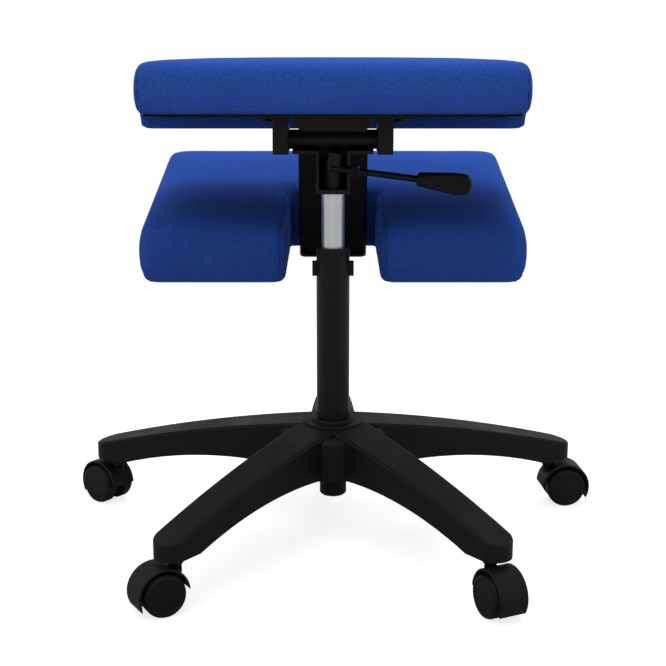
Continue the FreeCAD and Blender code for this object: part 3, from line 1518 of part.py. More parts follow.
def make_seat_bracket(label, sign):
    """Folds a bracket: a side plate on the pivot, a rear flange and a top flange under the seat."""
    body = add_body(label)
    near = dim.tube_length / 2 + dim.bracket_gap
    back = sign < 0
    side = add_sketch(body, "YZ_Plane", near * sign)
    corner = dim.steel
    draw_outline(
        side,
        (-dim.bracket_rear, -dim.bracket_drop),
        (dim.bolt_diameter, -dim.bracket_drop),
        (dim.bracket_front - corner, dim.seat_lift - dim.bracket_drop),
        (dim.bracket_front, dim.seat_lift - dim.bracket_drop + corner, corner * 2),
        (dim.bracket_front, dim.seat_lift),
        (-dim.bracket_rear, dim.seat_lift),
    )
    draw_circle(side, 0, 0, dim.bolt_diameter / 2 + dim.fit)
    extrude(body, side, dim.steel, backwards=back)
    rear = add_sketch(body, "XZ_Plane", dim.bracket_rear)
    draw_box(rear, *flip(near, near + dim.bracket_flange, sign, -dim.bracket_drop, dim.seat_lift))
    extrude(body, rear, dim.steel, backwards=True)
    top = add_sketch(body, "XY_Plane", dim.seat_lift)
    draw_box(top, *flip(near, near + dim.bracket_reach, sign, -dim.bracket_rear, dim.bracket_front))
    for x, y in screw_spots():
        if x.value * sign > 0:
            draw_circle(top, x, y, dim.screw_diameter / 2 + dim.fit)
    extrude(body, top, dim.steel, backwards=True)
    place_on_seat(body)


def flip(near, far, sign, low, high):
    """Corners of a rectangle on the right, or its mirror image on the left."""
    return (near, low, far, high) if sign > 0 else (-far, low, -near, high)


def draw_channel_section(body, back, low, inset, rise):
    """Draws the channel's section with cut lower corners at a distance behind the pivot."""
    half = dim.channel_width / 2 - inset
    chamfer = (dim.seat_lift - low) * dim.channel_chamfer
    sketch = add_sketch(body, "XZ_Plane", back)
    draw_outline(
        sketch,
        (chamfer - half, low),
        (half - chamfer, low),
        (half, low + chamfer),
        (half, dim.seat_lift + rise),
        (-half, dim.seat_lift + rise),
        (-half, low + chamfer),
    )
    return sketch


def make_seat_channel():
    """Folds the channel that levels the seat: a wedge of sheet steel, open above and in front."""
    body = add_body("seat_channel")
    wall = dim.channel_wall
    rear = draw_channel_section(body, dim.channel_rear, channel_rear_low, 0, 0)
    front = draw_channel_section(body, -dim.channel_front, channel_front_low, 0, 0)
    loft(body, [rear, front])
    rear = draw_channel_section(body, dim.channel_rear - wall, channel_rear_low + wall, wall, 1)
    front = draw_channel_section(body, -dim.channel_front - 1, channel_front_low + wall, wall, 1)
    loft(body, [rear, front], "SubtractiveLoft")
    place_on_seat(body)


def make_seat():
    make_seat_bracket("seat_bracket_right", 1)
    make_seat_bracket("seat_bracket_left", -1)
    make_seat_channel()
    spots = screw_spots()
    radius = dim.screw_diameter / 2
    low = dim.seat_lift
    place_on_seat(make_board("seat_dust_cover", draw_seat_outline, low, dim.dust_cover, spots, radius))
    board_low = low + dim.dust_cover
    place_on_seat(make_board("seat_board", draw_seat_outline, board_low, dim.board_thickness, spots, radius))
    cushion = make_cushion("seat_cushion", draw_seat_outline, low, dim.seat_edge, dim.seat_crown, dim.seat_spread)
    add_front_lip(cushion)
    place_on_seat(cushion)
    head_low = low - dim.steel - dim.head_height
    reach = dim.steel + dim.dust_cover + dim.board_thickness
    place_on_seat(make_fasteners("seat_screws", spots, radius, dim.screw_head / 2, head_low, reach))


def make_chair():
    make_star_base()
    make_hub_sleeve()
    make_column_tube()
    make_guide_bush()
    make_thrust_bearing()
    make_piston_rod()
    make_gas_cylinder()
    make_release_pin()
    make_caster_stems()
    for index in range(LEG_COUNT):
        make_caster_hood(index)
        make_caster_axle(index)
        make_caster_wheel(index, "left", False)
        make_caster_wheel(index, "right", True)
    make_socket_housing()
    make_taper_sleeve()
    make_mechanism_plate()
    make_seat_pivot()
    make_lever()
    make_lever_grip()
    make_knee_arm()
    make_knee_foot()
    make_knee_pad()
    make_seat()


def check_and_export():
    """Stops on anything failed, then writes one file for each sub-part."""
    doc.recompute()
    for item in doc.Objects:
        if "Invalid" in item.State or "Error" in item.State:
            raise RuntimeError(f"{item.Label} failed: {item.State}")
    for label, piece in pieces.items():
        if piece.Shape.isNull() or not piece.Shape.isValid():
            raise RuntimeError(f"{label} has no valid shape")
    os.makedirs("parts", exist_ok=True)
    for label, piece in pieces.items():
        piece.Shape.exportStep(f"parts/{label}.step")
        print(label, len(piece.Shape.Solids), round(piece.Shape.Volume))


make_chair()
check_and_export()
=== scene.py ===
# %% [markdown]
# # Dressing a kneeling chair
# The chair's frame comes from the CAD model: every steel and plastic piece is already the right shape and
# sits in the right place. This lesson gives each of them a finish, sews the two cushions, and sets up a white
# studio. Lengths are in metres, the chair stands on the floor at Z = 0, and +Y is the way the sitter looks.

import json
import math

import bmesh
import bpy
from mathutils import Matrix, Vector
from mathutils.kdtree import KDTree


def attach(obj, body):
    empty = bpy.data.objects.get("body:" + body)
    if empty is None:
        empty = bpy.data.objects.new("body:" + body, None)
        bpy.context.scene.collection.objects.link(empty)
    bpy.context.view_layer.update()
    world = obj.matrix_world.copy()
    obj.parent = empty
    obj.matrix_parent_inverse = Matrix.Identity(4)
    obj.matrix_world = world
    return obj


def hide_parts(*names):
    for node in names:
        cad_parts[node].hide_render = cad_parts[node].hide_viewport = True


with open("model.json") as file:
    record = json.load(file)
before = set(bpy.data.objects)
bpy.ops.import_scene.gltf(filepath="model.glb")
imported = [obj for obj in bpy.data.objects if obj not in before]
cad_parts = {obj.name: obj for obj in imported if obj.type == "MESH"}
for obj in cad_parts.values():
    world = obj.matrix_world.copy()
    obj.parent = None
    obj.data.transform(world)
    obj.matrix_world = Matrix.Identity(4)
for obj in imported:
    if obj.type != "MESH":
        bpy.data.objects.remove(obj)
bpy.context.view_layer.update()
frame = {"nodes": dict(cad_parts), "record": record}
print("CAD pieces:", len(frame["nodes"]))

# %% [markdown]
# ## Small tools for materials
# A material is a small graph of nodes. One function adds a node, sets it up and joins it to the nodes before
# it, and a few more add what nearly every finish needs: a noise, a range, a blend of two colours and a bump.
# Colours are written as hex values, as a paint program shows them. Blender computes with linear light, so one
# function turns a hex value into linear numbers.

# %% Tools for materials
MM = 0.001
NOISE_LOW = 0.3
NOISE_HIGH = 0.7
# Sockets of the mix node for colours, which have the same names as those for numbers
MIX_FIRST = 6
MIX_SECOND = 7
MIX_RESULT = 2


def linear(hex_colour):
    """Linear colour of an sRGB hex value."""
    channels = [int(hex_colour[start:start + 2], 16) / 255 for start in (1, 3, 5)]
    return [c / 12.92 if c <= 0.04045 else ((c + 0.055) / 1.055) ** 2.4 for c in channels] + [1.0]


def add_node(tree, kind, inputs=None, **settings):
    """Adds a node with its settings, and with its inputs either set to a value or linked to a socket."""
    node = tree.nodes.new(kind)
    for name, value in settings.items():
        setattr(node, name, value)
    for name, value in (inputs or {}).items():
        if isinstance(value, bpy.types.NodeSocket):
            tree.links.new(value, node.inputs[name])
        else:
            node.inputs[name].default_value = value
    return node


def start_finish(name, **sockets):
    """Starts a material and sets its shader's constants. Returns material, tree, shader and coordinates."""
    finish = bpy.data.materials.new(name)
    finish.use_nodes = True
    tree = finish.node_tree
    shader = tree.nodes["Principled BSDF"]
    for socket, value in sockets.items():
        shader.inputs[socket.replace("_", " ")].default_value = value
    coordinates = add_node(tree, "ShaderNodeTexCoord")
    return finish, tree, shader, coordinates.outputs


def per_metre(millimetres):
    """Scale of a texture whose features have a size in millimetres."""
    return 1 / (millimetres * MM)


def add_noise(tree, vector, feature_mm, detail, **more):
    """Adds a noise whose features have a size in millimetres. Returns the socket with its value."""
    noise = add_node(tree, "ShaderNodeTexNoise", {
        "Vector": vector, "Scale": per_metre(feature_mm), "Detail": detail, **more})
    return noise.outputs["Fac"]


def spread(tree, noise, low, high):
    """Maps the usual span of a noise to a low and a high value. Returns the socket with the result."""
    mapped = add_node(tree, "ShaderNodeMapRange", {
        "Value": noise, "From Min": NOISE_LOW, "From Max": NOISE_HIGH, "To Min": low, "To Max": high})
    return mapped.outputs["Result"]


def blend(tree, share, first, second):
    """Blends two hex colours. Returns the socket with the result."""
    mix = add_node(tree, "ShaderNodeMix", {
        "Factor": share, MIX_FIRST: linear(first), MIX_SECOND: linear(second)}, data_type="RGBA")
    return mix.outputs[MIX_RESULT]


def emboss(tree, shader, height, strength, depth_mm):
    """Gives a shader a bump from a socket with heights."""
    bump = add_node(tree, "ShaderNodeBump", {
        "Height": height, "Strength": strength, "Distance": depth_mm * MM})
    tree.links.new(bump.outputs["Normal"], shader.inputs["Normal"])


print("white is", linear("#ffffff")[:3])

# %% [markdown]
# ## Black moulded nylon
# The star base is injection moulded from glass-filled nylon. The mould is spark eroded, which leaves a fine
# dull grain, so the base looks satin black and only its edges catch the light. Real grain is about 0.2 mm,
# too fine to show here, so it is drawn at about 1 mm. A slow noise changes the gloss from place to place, as
# handling does.

# %% Nylon and other moulded plastics
USUAL_IOR = 1.5
DULL_SPECULAR = 0.16
PATCH_MM = 45
RUBBED_EDGE = 1.2 * MM
# Agreement of the rounded and the true normal where an edge starts to show wear, and where it is worn most
WEAR_STARTS = 0.98
WEAR_ENDS = 0.8
MOST_WEAR = 0.7


def moulded_plastic(name, colour, worn_colour, roughness, grain_mm, grain_height):
    """Black moulded plastic: a spark-eroded grain, patchy gloss and a slightly rubbed edge."""
    finish, tree, shader, place = start_finish(name, IOR=USUAL_IOR, Specular_IOR_Level=DULL_SPECULAR)
    grain = add_noise(tree, place["Object"], grain_mm, 2.0, Roughness=0.6)
    patches = add_noise(tree, place["Object"], PATCH_MM, 3.0)
    tree.links.new(spread(tree, patches, roughness - 0.06, roughness + 0.08), shader.inputs["Roughness"])
    soft_edge = add_node(tree, "ShaderNodeBevel", {"Radius": RUBBED_EDGE}, samples=6)
    true_edge = add_node(tree, "ShaderNodeNewGeometry")
    turn = add_node(tree, "ShaderNodeVectorMath", {
        0: soft_edge.outputs["Normal"], 1: true_edge.outputs["Normal"]}, operation="DOT_PRODUCT")
    rubbed = add_node(tree, "ShaderNodeMapRange", {
        "Value": turn.outputs["Value"], "From Min": WEAR_STARTS, "From Max": WEAR_ENDS,
        "To Min": 0.0, "To Max": MOST_WEAR})
    tree.links.new(blend(tree, rubbed.outputs["Result"], colour, worn_colour), shader.inputs["Base Color"])
    emboss(tree, shader, grain, 0.5, grain_height)
    return finish


nylon = moulded_plastic("glass_filled_nylon", "#121212", "#202020", 0.55, 1.0, 0.06)
caster_nylon = moulded_plastic("caster_nylon", "#131313", "#222222", 0.5, 0.9, 0.05)
wheel_nylon = moulded_plastic("wheel_nylon", "#101010", "#1c1c1c", 0.46, 1.4, 0.04)
acetal = moulded_plastic("black_acetal", "#101010", "#1c1c1c", 0.5, 0.9, 0.05)
grip_vinyl = moulded_plastic("soft_grip_vinyl", "#141413", "#212120", 0.62, 0.8, 0.1)
print("plastics:", nylon.name, caster_nylon.name, wheel_nylon.name, acetal.name, grip_vinyl.name)

# %% [markdown]
# ## Powder-coated steel
# Column, box, arm and brackets are mild steel with a black powder coat. Powder melts into a skin that is
# never quite level: painters call it orange peel, with waves of 1 to 2 mm. The coat is a little glossier than
# the nylon, and a slow noise stands for dust.

# %% Powder-coated steel
PEEL_MM = 1.8
DUST_MM = 60

powder_coat, tree, shader, place = start_finish(
    "powder_coated_steel", IOR=USUAL_IOR, Specular_IOR_Level=DULL_SPECULAR, Coat_Weight=0.03,
    Coat_Roughness=0.35)
peel = add_noise(tree, place["Object"], PEEL_MM, 1.0)
dust = add_noise(tree, place["Object"], DUST_MM, 4.0)
tree.links.new(blend(tree, dust, "#0c0c0c", "#141414"), shader.inputs["Base Color"])
tree.links.new(spread(tree, dust, 0.36, 0.5), shader.inputs["Roughness"])
emboss(tree, shader, peel, 0.4, 0.05)
print("coat:", powder_coat.name)

# %% [markdown]
# ## Bare metals
# The gas spring's tube is hard chromed and ground round, which leaves fine rings. Bolts are zinc plated, with
# a faint cloudy bloom. Both are metals, so their colour is the colour of the reflection, and all the
# character comes from small changes of roughness. The grinding rings are 0.05 mm apart on the real tube. Here
# they are soft bands about 7 mm high.

# %% Chrome, zinc and the metals inside


def bare_metal(name, colour, cloudy_colour, low, high, stretch, feature_mm):
    """A metal with a cloudy tone and roughness; stretch flattens the clouds into rings across Z."""
    finish, tree, shader, place = start_finish(name, Metallic=1.0)
    rings = add_node(tree, "ShaderNodeMapping", {"Vector": place["Object"], "Scale": (1.0, 1.0, stretch)})
    clouds = add_noise(tree, rings.outputs["Vector"], feature_mm, 3.0)
    tree.links.new(spread(tree, clouds, low, high), shader.inputs["Roughness"])
    tree.links.new(blend(tree, clouds, colour, cloudy_colour), shader.inputs["Base Color"])
    emboss(tree, shader, clouds, 0.12, 0.02)
    return finish


chrome = bare_metal("ground_chrome", "#d2d4d4", "#c8caca", 0.32, 0.38, 12.0, 90)
zinc = bare_metal("zinc_plated_steel", "#b9bbbd", "#a3a7ad", 0.28, 0.42, 1.0, 6)
cast_aluminium = bare_metal("machined_aluminium", "#c3c4c6", "#b2b4b7", 0.3, 0.4, 20.0, 8)
brass = bare_metal("turned_brass", "#c8a860", "#b4924c", 0.25, 0.36, 20.0, 6)
black_oxide = bare_metal("black_oxide_steel", "#16171a", "#1f2022", 0.45, 0.6, 1.0, 5)
print("metals:", chrome.name, zinc.name, cast_aluminium.name, brass.name, black_oxide.name)

# %% [markdown]
# ## Birch plywood and black lining cloth
# Each cushion is stapled to a plywood board, and a black non-woven cloth hides the board from below. The
# board has a long soft grain. The cloth is pressed from fibres, so it has a felted, dimpled look with a point
# about every 2 mm.

# %% Plywood and lining cloth
DIMPLE_MM = 2.4
FIBRE_MM = 6
GRAIN_MM = 5
# The board's grain runs from side to side, so the noise is drawn out along X
GRAIN_DRAWN_OUT = (0.08, 1.0, 1.0)

plywood, tree, shader, place = start_finish("birch_plywood", Roughness=0.6, IOR=USUAL_IOR)
lengthwise = add_node(tree, "ShaderNodeMapping", {"Vector": place["Object"], "Scale": GRAIN_DRAWN_OUT})
grain = add_noise(tree, lengthwise.outputs["Vector"], GRAIN_MM, 5.0, Distortion=0.4)
tree.links.new(blend(tree, grain, "#c9a878", "#e0c69c"), shader.inputs["Base Color"])
emboss(tree, shader, grain, 0.3, 0.1)

lining, tree, shader, place = start_finish(
    "black_nonwoven_cloth", Roughness=0.92, Specular_IOR_Level=0.15, Sheen_Weight=0.08)
dimples = add_node(tree, "ShaderNodeTexVoronoi", {
    "Vector": place["Object"], "Scale": per_metre(DIMPLE_MM)}, feature="F1")
fibres = add_noise(tree, place["Object"], FIBRE_MM, 6.0, Distortion=1.5)
tree.links.new(blend(tree, fibres, "#0a0a0a", "#131313"), shader.inputs["Base Color"])
emboss(tree, shader, dimples.outputs["Distance"], 0.6, 0.25)
print("boards:", plywood.name, lining.name)

# %% [markdown]
# ## Blue upholstery cloth
# The covers are a plain-woven polyester in royal blue. Warp and weft cross every 0.8 mm, and the yarn is spun
# from fibres of slightly different blue, which gives a fine mottled look. One pixel of the render is about
# 1.2 mm, so the weave is drawn at 2 mm. Warp and weft are two wave textures on the cloth's own UV map, which
# is measured in metres along the surface. A little sheen stands for the fuzz that glows at grazing angles.

# %% Blue cloth and its sewing thread
WEAVE_MM = 2.0
# A wave texture turns by this many radians per unit of its scale
WAVE_RADIANS = 20
WEAVE_SHARE = 0.22
SPECKLE_MM = 2.6
WEAR_MM = 90
TWIST_MM = 1.5


def woven_cloth(name, dark, middle, light):
    """Plain weave: two crossing waves for the bump, and yarn speckle for the colour."""
    finish, tree, shader, place = start_finish(
        name, Roughness=0.88, Specular_IOR_Level=0.08, Sheen_Weight=0.04, Sheen_Roughness=0.5,
        Sheen_Tint=linear("#9db2e6"))
    wave_scale = per_metre(WEAVE_MM) / WAVE_RADIANS * math.tau
    threads = []
    for direction in ("X", "Y"):
        threads.append(add_node(tree, "ShaderNodeTexWave", {
            "Vector": place["UV"], "Scale": wave_scale, "Distortion": 0.5, "Detail": 1.0,
            "Detail Scale": 3.0}, bands_direction=direction, wave_profile="SIN"))
    crossing = add_node(tree, "ShaderNodeMath", {
        0: threads[0].outputs["Fac"], 1: threads[1].outputs["Fac"]}, operation="MULTIPLY")
    speckle = add_noise(tree, place["Object"], SPECKLE_MM, 3.0, Roughness=0.75)
    wear = add_noise(tree, place["Object"], WEAR_MM, 2.0)
    mixed = add_node(tree, "ShaderNodeMath", {
        0: crossing.outputs["Value"], 1: WEAVE_SHARE, 2: speckle}, operation="MULTIPLY_ADD")
    yarn = add_node(tree, "ShaderNodeValToRGB", {"Fac": mixed.outputs["Value"]})
    ramp = yarn.color_ramp
    ramp.elements[0].position = 0.3
    ramp.elements[0].color = linear(dark)
    ramp.elements[1].position = 0.8
    ramp.elements[1].color = linear(light)
    centre = ramp.elements.new(0.55)
    centre.color = linear(middle)
    faded = add_node(tree, "ShaderNodeHueSaturation", {
        "Color": yarn.outputs["Color"], "Saturation": 0.97, "Value": spread(tree, wear, 0.94, 1.05)})
    tree.links.new(faded.outputs["Color"], shader.inputs["Base Color"])
    height = add_node(tree, "ShaderNodeMath", {0: mixed.outputs["Value"], 1: 0.5}, operation="MULTIPLY")
    emboss(tree, shader, height.outputs["Value"], 0.4, 0.5)
    return finish


blue_cloth = woven_cloth("blue_woven_polyester", "#174093", "#1c49a4", "#2556b3")
thread, tree, shader, place = start_finish("blue_sewing_thread", Roughness=0.7, Specular_IOR_Level=0.25)
twist = add_noise(tree, place["Object"], TWIST_MM, 2.0)
tree.links.new(blend(tree, twist, "#173a84", "#1d4392"), shader.inputs["Base Color"])
print("cloth:", blue_cloth.name, "thread:", thread.name)

# %% [markdown]
# ## Finishes on the CAD pieces
# The CAD pieces keep their shape. Each belongs to a material slot of the record, such as black_steel, and all
# pieces of one slot get the same finish. A few small pieces share a slot with bigger ones but look different,
# so they are named on their own.

# %% Give each CAD piece its finish
FINISH_OF_SLOT = {
    "base_nylon": nylon, "caster_plastic": caster_nylon, "wheel_plastic": wheel_nylon,
    "black_steel": powder_coat, "black_plastic": acetal, "chrome": chrome, "steel": zinc,
    "aluminium": cast_aluminium, "brass": brass, "blue_fabric": blue_cloth, "black_cloth": lining,
    "plywood": plywood,
}
FINISH_OF_NODE = {
    "lever_grip": grip_vinyl, "lever_pin": black_oxide, "caster_stems": black_oxide,
    "hub_sleeve": black_oxide,
}
slot_of_node = {part["node"]: part["material_slot"] for part in frame["record"]["subparts"]}
for name, piece in frame["nodes"].items():
    finish = FINISH_OF_NODE.get(name) or FINISH_OF_SLOT[slot_of_node[name]]
    piece.data.materials.clear()
    piece.data.materials.append(finish)
print("finished CAD pieces:", len(slot_of_node))

# %% [markdown]
# ## The cushions: foam under a sewn cover
# A cushion is foam that pushes a cover outwards. It could be sculpted by hand, but a cloth simulation gives
# the right tension for free. It runs on a coarse copy of the CAD form: even 6 mm quads, blown up with air
# pressure for 16 frames while the stapled underside is held. Only the outward part of each point's way is
# kept, and no more than a few millimetres of it, because upholstery foam is firm. That push is then smoothed
# and handed on to a finer copy with 3 mm quads, which becomes the visible cushion. The knee pad's foam is
# thick and soft, so its cover also gets a few millimetres of fullness on top, beside the notch, at its sides
# and round its lower rim.

# %% Swell a copy of a CAD cushion
COARSE = 6 * MM
FINE = 3 * MM
SWELL_FRAMES = 16
EASE_ROUNDS = 8
SMOOTH_ROUNDS = 5
SMOOTH_SHARE = 0.5
LIP_ROUNDS = 6
LIP_HEIGHT = -2 * MM
NEAR_POINTS = 4
LEAST_DISTANCE = 0.1 * MM
MERGE_DISTANCE = 0.01 * MM
# Fullness of the knee pad's cover, and where each kind of it applies
KNEE_TOP_FULLER = 5.0 * MM
KNEE_NOTCH_FULLER = 2.2 * MM
KNEE_SIDE_FULLER = 1.0 * MM
KNEE_RIM_FULLER = 4.0 * MM
RIM_HEIGHT = 6 * MM
NOTCH_ZONE = 66 * MM
SIDE_ZONE = 205 * MM
# Places of the two cushions: the seat about its pivot, with its underside above it, and the knee pad
SEAT_PLACE = Matrix.Translation((0, -8 * MM, 491.5 * MM)) @ Matrix.Rotation(math.radians(-6.8), 4, "X")
SEAT_LOW = 27.9 * MM
KNEE_PLACE = Matrix.Translation((0, 118 * MM, 339 * MM)) @ Matrix.Rotation(math.radians(13.8), 4, "X")


def copy_of_node(name, label):
    """A new object with a merged copy of a CAD node's mesh."""
    mesh = frame["nodes"][name].data.copy()
    mesh.materials.clear()
    shape = bmesh.new()
    shape.from_mesh(mesh)
    bmesh.ops.remove_doubles(shape, verts=shape.verts, dist=MERGE_DISTANCE)
    bmesh.ops.recalc_face_normals(shape, faces=shape.faces)
    shape.to_mesh(mesh)
    shape.free()
    piece = bpy.data.objects.new(label, mesh)
    bpy.context.scene.collection.objects.link(piece)
    return piece


def bake_modifiers(piece):
    """Replaces a piece's mesh by what its modifiers make of it, and removes them."""
    depsgraph = bpy.context.evaluated_depsgraph_get()
    baked = bpy.data.meshes.new_from_object(piece.evaluated_get(depsgraph))
    piece.modifiers.clear()
    piece.data = baked


def remesh_evenly(piece, voxel):
    """Makes even quads of one voxel's size."""
    remesh = piece.modifiers.new("even_quads", "REMESH")
    remesh.mode = "VOXEL"
    remesh.voxel_size = voxel
    bake_modifiers(piece)


def freedom(height, held_below, free_above):
    """0 where the cover is held, 1 where it is free, and a smooth step between them."""
    share = min(max((height - held_below) / (free_above - held_below), 0.0), 1.0)
    return share * share * (3 - 2 * share)


def blow_up(piece, loose):
    """Runs the cloth simulation on a piece whose points are loose by the shares given."""
    held = piece.vertex_groups.new(name="held")
    for index, share in enumerate(loose):
        held.add([index], 1.0 - share, "REPLACE")
    cloth = piece.modifiers.new("cover", "CLOTH")
    cloth.settings.quality = 5
    cloth.settings.mass = 0.15
    cloth.settings.tension_stiffness = 8
    cloth.settings.compression_stiffness = 8
    cloth.settings.bending_stiffness = 1.0
    cloth.settings.use_pressure = True
    cloth.settings.uniform_pressure_force = 9.0
    cloth.settings.vertex_group_mass = "held"
    cloth.settings.effector_weights.gravity = 0.0
    cloth.point_cache.frame_start = 1
    cloth.point_cache.frame_end = SWELL_FRAMES
    for number in range(1, SWELL_FRAMES + 1):
        bpy.context.scene.frame_set(number)
    bake_modifiers(piece)
    bpy.context.scene.frame_set(1)


def eased(mesh, values):
    """Averages a value of each point with its neighbours, several times over."""
    near = [[] for vertex in mesh.vertices]
    for edge in mesh.edges:
        first, second = edge.vertices
        near[first].append(second)
        near[second].append(first)
    for _ in range(EASE_ROUNDS):
        values = [
            (values[index] + sum(values[other] for other in others)) / (len(others) + 1)
            for index, others in enumerate(near)]
    return values


def measure_push(name, to_local, held_below, free_above, most_push):
    """Simulates a coarse copy of a CAD cushion. Returns its points in a tree and each one's push outwards."""
    coarse = copy_of_node(name, name + "_coarse")
    remesh_evenly(coarse, COARSE)
    points = [vertex.co.copy() for vertex in coarse.data.vertices]
    normals = [vertex.normal.copy() for vertex in coarse.data.vertices]
    loose = [freedom((to_local @ point).z, held_below, free_above) for point in points]
    push = [0.0] * len(points)
    blow_up(coarse, loose)
    moved = [vertex.co - point for vertex, point in zip(coarse.data.vertices, points)]
    push = [min(max(step.dot(normal), 0.0), most_push) for step, normal in zip(moved, normals)]
    push = [value * share for value, share in zip(eased(coarse.data, push), loose)]
    tree = KDTree(len(points))
    for index, point in enumerate(points):
        tree.insert(point, index)
    tree.balance()
    bpy.data.objects.remove(coarse)
    return tree, push


def knee_fullness(spot, normal):
    """Extra foam under the knee pad's cover at a spot, from the way its surface faces there."""
    outward = normal.x if spot.x > 0 else -normal.x
    extra = KNEE_TOP_FULLER * max(normal.z, 0.0) ** 2
    if spot.z < RIM_HEIGHT:
        extra += KNEE_RIM_FULLER * max(-normal.z, 0.0) ** 2
    if abs(spot.x) < NOTCH_ZONE:
        extra += KNEE_NOTCH_FULLER * max(-outward, 0.0) ** 2
    if abs(spot.x) > SIDE_ZONE:
        extra += KNEE_SIDE_FULLER * max(outward, 0.0) ** 2
    return extra


def no_fullness(spot, normal):
    """The seat's foam fills its cover just as the CAD form says."""
    return 0.0


def smooth(shape, points, rounds):
    """Draws points towards their neighbours, several times over."""
    for _ in range(rounds):
        bmesh.ops.smooth_vert(
            shape, verts=points, factor=SMOOTH_SHARE, use_axis_x=True, use_axis_y=True, use_axis_z=True)


def make_cover(name, label, to_local, held_below, free_above, most_push, fullness):
    """Makes the visible cushion: a fine, smoothed copy of a CAD cushion with the simulated push added."""
    tree, push = measure_push(name, to_local, held_below, free_above, most_push)
    piece = copy_of_node(name, label)
    remesh_evenly(piece, FINE)
    shape = bmesh.new()
    shape.from_mesh(piece.data)
    smooth(shape, shape.verts, SMOOTH_ROUNDS)
    lip = [vertex for vertex in shape.verts if (to_local @ vertex.co).z < LIP_HEIGHT]
    smooth(shape, lip, LIP_ROUNDS)
    shape.normal_update()
    turn = to_local.to_3x3()
    steps = []
    for vertex in shape.verts:
        found = tree.find_n(vertex.co, NEAR_POINTS)
        weights = [1 / (distance + LEAST_DISTANCE) for point, index, distance in found]
        blown = sum(weight * push[index] for weight, (point, index, distance) in zip(weights, found))
        extra = fullness(to_local @ vertex.co, turn @ vertex.normal)
        steps.append(vertex.normal * (blown / sum(weights) + extra))
    for vertex, step in zip(shape.verts, steps):
        vertex.co += step
    shape.to_mesh(piece.data)
    shape.free()
    print(label, "faces", len(piece.data.polygons), "longest push", round(max(push) / MM, 2), "mm, mean",
          round(sum(push) / len(push) / MM, 2), "mm")
    return piece


seat_cushion = make_cover(
    "seat_cushion", "sewn_seat_cushion", Matrix.Translation((0, 0, -SEAT_LOW)) @ SEAT_PLACE.inverted(),
    held_below=16 * MM, free_above=32 * MM, most_push=0.7 * MM, fullness=no_fullness)
knee_cushion = make_cover(
    "knee_cushion", "sewn_knee_cushion", KNEE_PLACE.inverted(),
    held_below=16 * MM, free_above=34 * MM, most_push=2.6 * MM, fullness=knee_fullness)

# %% [markdown]
# ## Seams
# The seat's cover has one long panel over front, top and rear and a panel at each end. The knee pad's cover
# has a seam along each side of its notch. Where panels meet, the seam pulls the cloth into the foam. A plane
# that cuts the cushion gives exactly the line where such a seam runs: two more cuts beside it hold the
# shape, and the middle line moves inwards. The sewn edge itself is a thin cord that lies in this groove.

# %% Sew the seams
SEAM_SIDE = 3.2 * MM
SEAM_DEPTH = 1.6 * MM
CUT_TOLERANCE = 0.2 * MM
CORD_DEPTH = 0.7 * MM
CORD_RADIUS = 0.75 * MM
# Planes of the seams on the right: a point in the plane and the way it faces
SEAT_SEAM_SPOT = (227.3 * MM, 0, 0)
SEAT_SEAM_FACING = (0.9944, -0.1054, 0)
NOTCH_SEAM_SPOT = (60.5 * MM, -30 * MM, 0)
NOTCH_SEAM_FACING = (0.9983, 0.0452, 0)
# Where the seams end: above the undersides, and short of the notch's inner end
SEAT_SEAM_LOW = SEAT_LOW + 3 * MM
NOTCH_SEAM_LOW = 6 * MM
NOTCH_SEAM_FRONT = 4 * MM


def sew_seam(piece, place, point, normal, keep, label, body):
    """Pulls a seam into a cushion where a plane cuts it and keep allows it, and lays the sewn edge in it."""
    spot = place @ Vector(point)
    direction = (place.to_3x3() @ Vector(normal)).normalized()
    to_local = place.inverted()
    shape = bmesh.new()
    shape.from_mesh(piece.data)
    lines = []
    for offset in (-SEAM_SIDE, SEAM_SIDE, 0.0):
        everything = shape.verts[:] + shape.edges[:] + shape.faces[:]
        result = bmesh.ops.bisect_plane(
            shape, geom=everything, dist=CUT_TOLERANCE, plane_co=spot + direction * offset,
            plane_no=direction)
        lines = [item for item in result["geom_cut"] if isinstance(item, bmesh.types.BMEdge)]
    shape.normal_update()
    lines = [edge for edge in lines if all(keep(to_local @ vertex.co) for vertex in edge.verts)]
    seam_points = {vertex: vertex.co.copy() for edge in lines for vertex in edge.verts}
    cord = bmesh.new()
    copies = {}
    for vertex in seam_points:
        copies[vertex] = cord.verts.new(vertex.co - vertex.normal * CORD_DEPTH)
    for edge in lines:
        cord.edges.new([copies[vertex] for vertex in edge.verts])
    for vertex in seam_points:
        vertex.co -= vertex.normal * SEAM_DEPTH
    shape.to_mesh(piece.data)
    shape.free()
    line = bpy.data.objects.new(label, bpy.data.meshes.new(label))
    cord.to_mesh(line.data)
    cord.free()
    bpy.context.scene.collection.objects.link(line)
    return thicken_line(line, CORD_RADIUS, body)


def thicken_line(line, radius, body):
    """Turns a chain of edges into a round cord that rides on a body."""
    bpy.ops.object.select_all(action="DESELECT")
    bpy.context.view_layer.objects.active = line
    line.select_set(True)
    bpy.ops.object.convert(target="CURVE")
    line.data.bevel_depth = radius
    line.data.bevel_resolution = 1
    line.data.use_fill_caps = True
    bpy.ops.object.convert(target="MESH")
    line.data.materials.clear()
    line.data.materials.append(thread)
    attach(line, body)
    return line


def mirrored(values, sign):
    """A place or direction of the right half, or with the sign -1 its mirror image in the left half."""
    return (sign * values[0], values[1], values[2])


def whole_loop(spot):
    """Keeps a seam above the stapled underside."""
    return spot.z > SEAT_SEAM_LOW


def notch_edge(spot):
    """Keeps a knee seam beside the notch, above the underside."""
    return spot.z > NOTCH_SEAM_LOW and spot.y < NOTCH_SEAM_FRONT


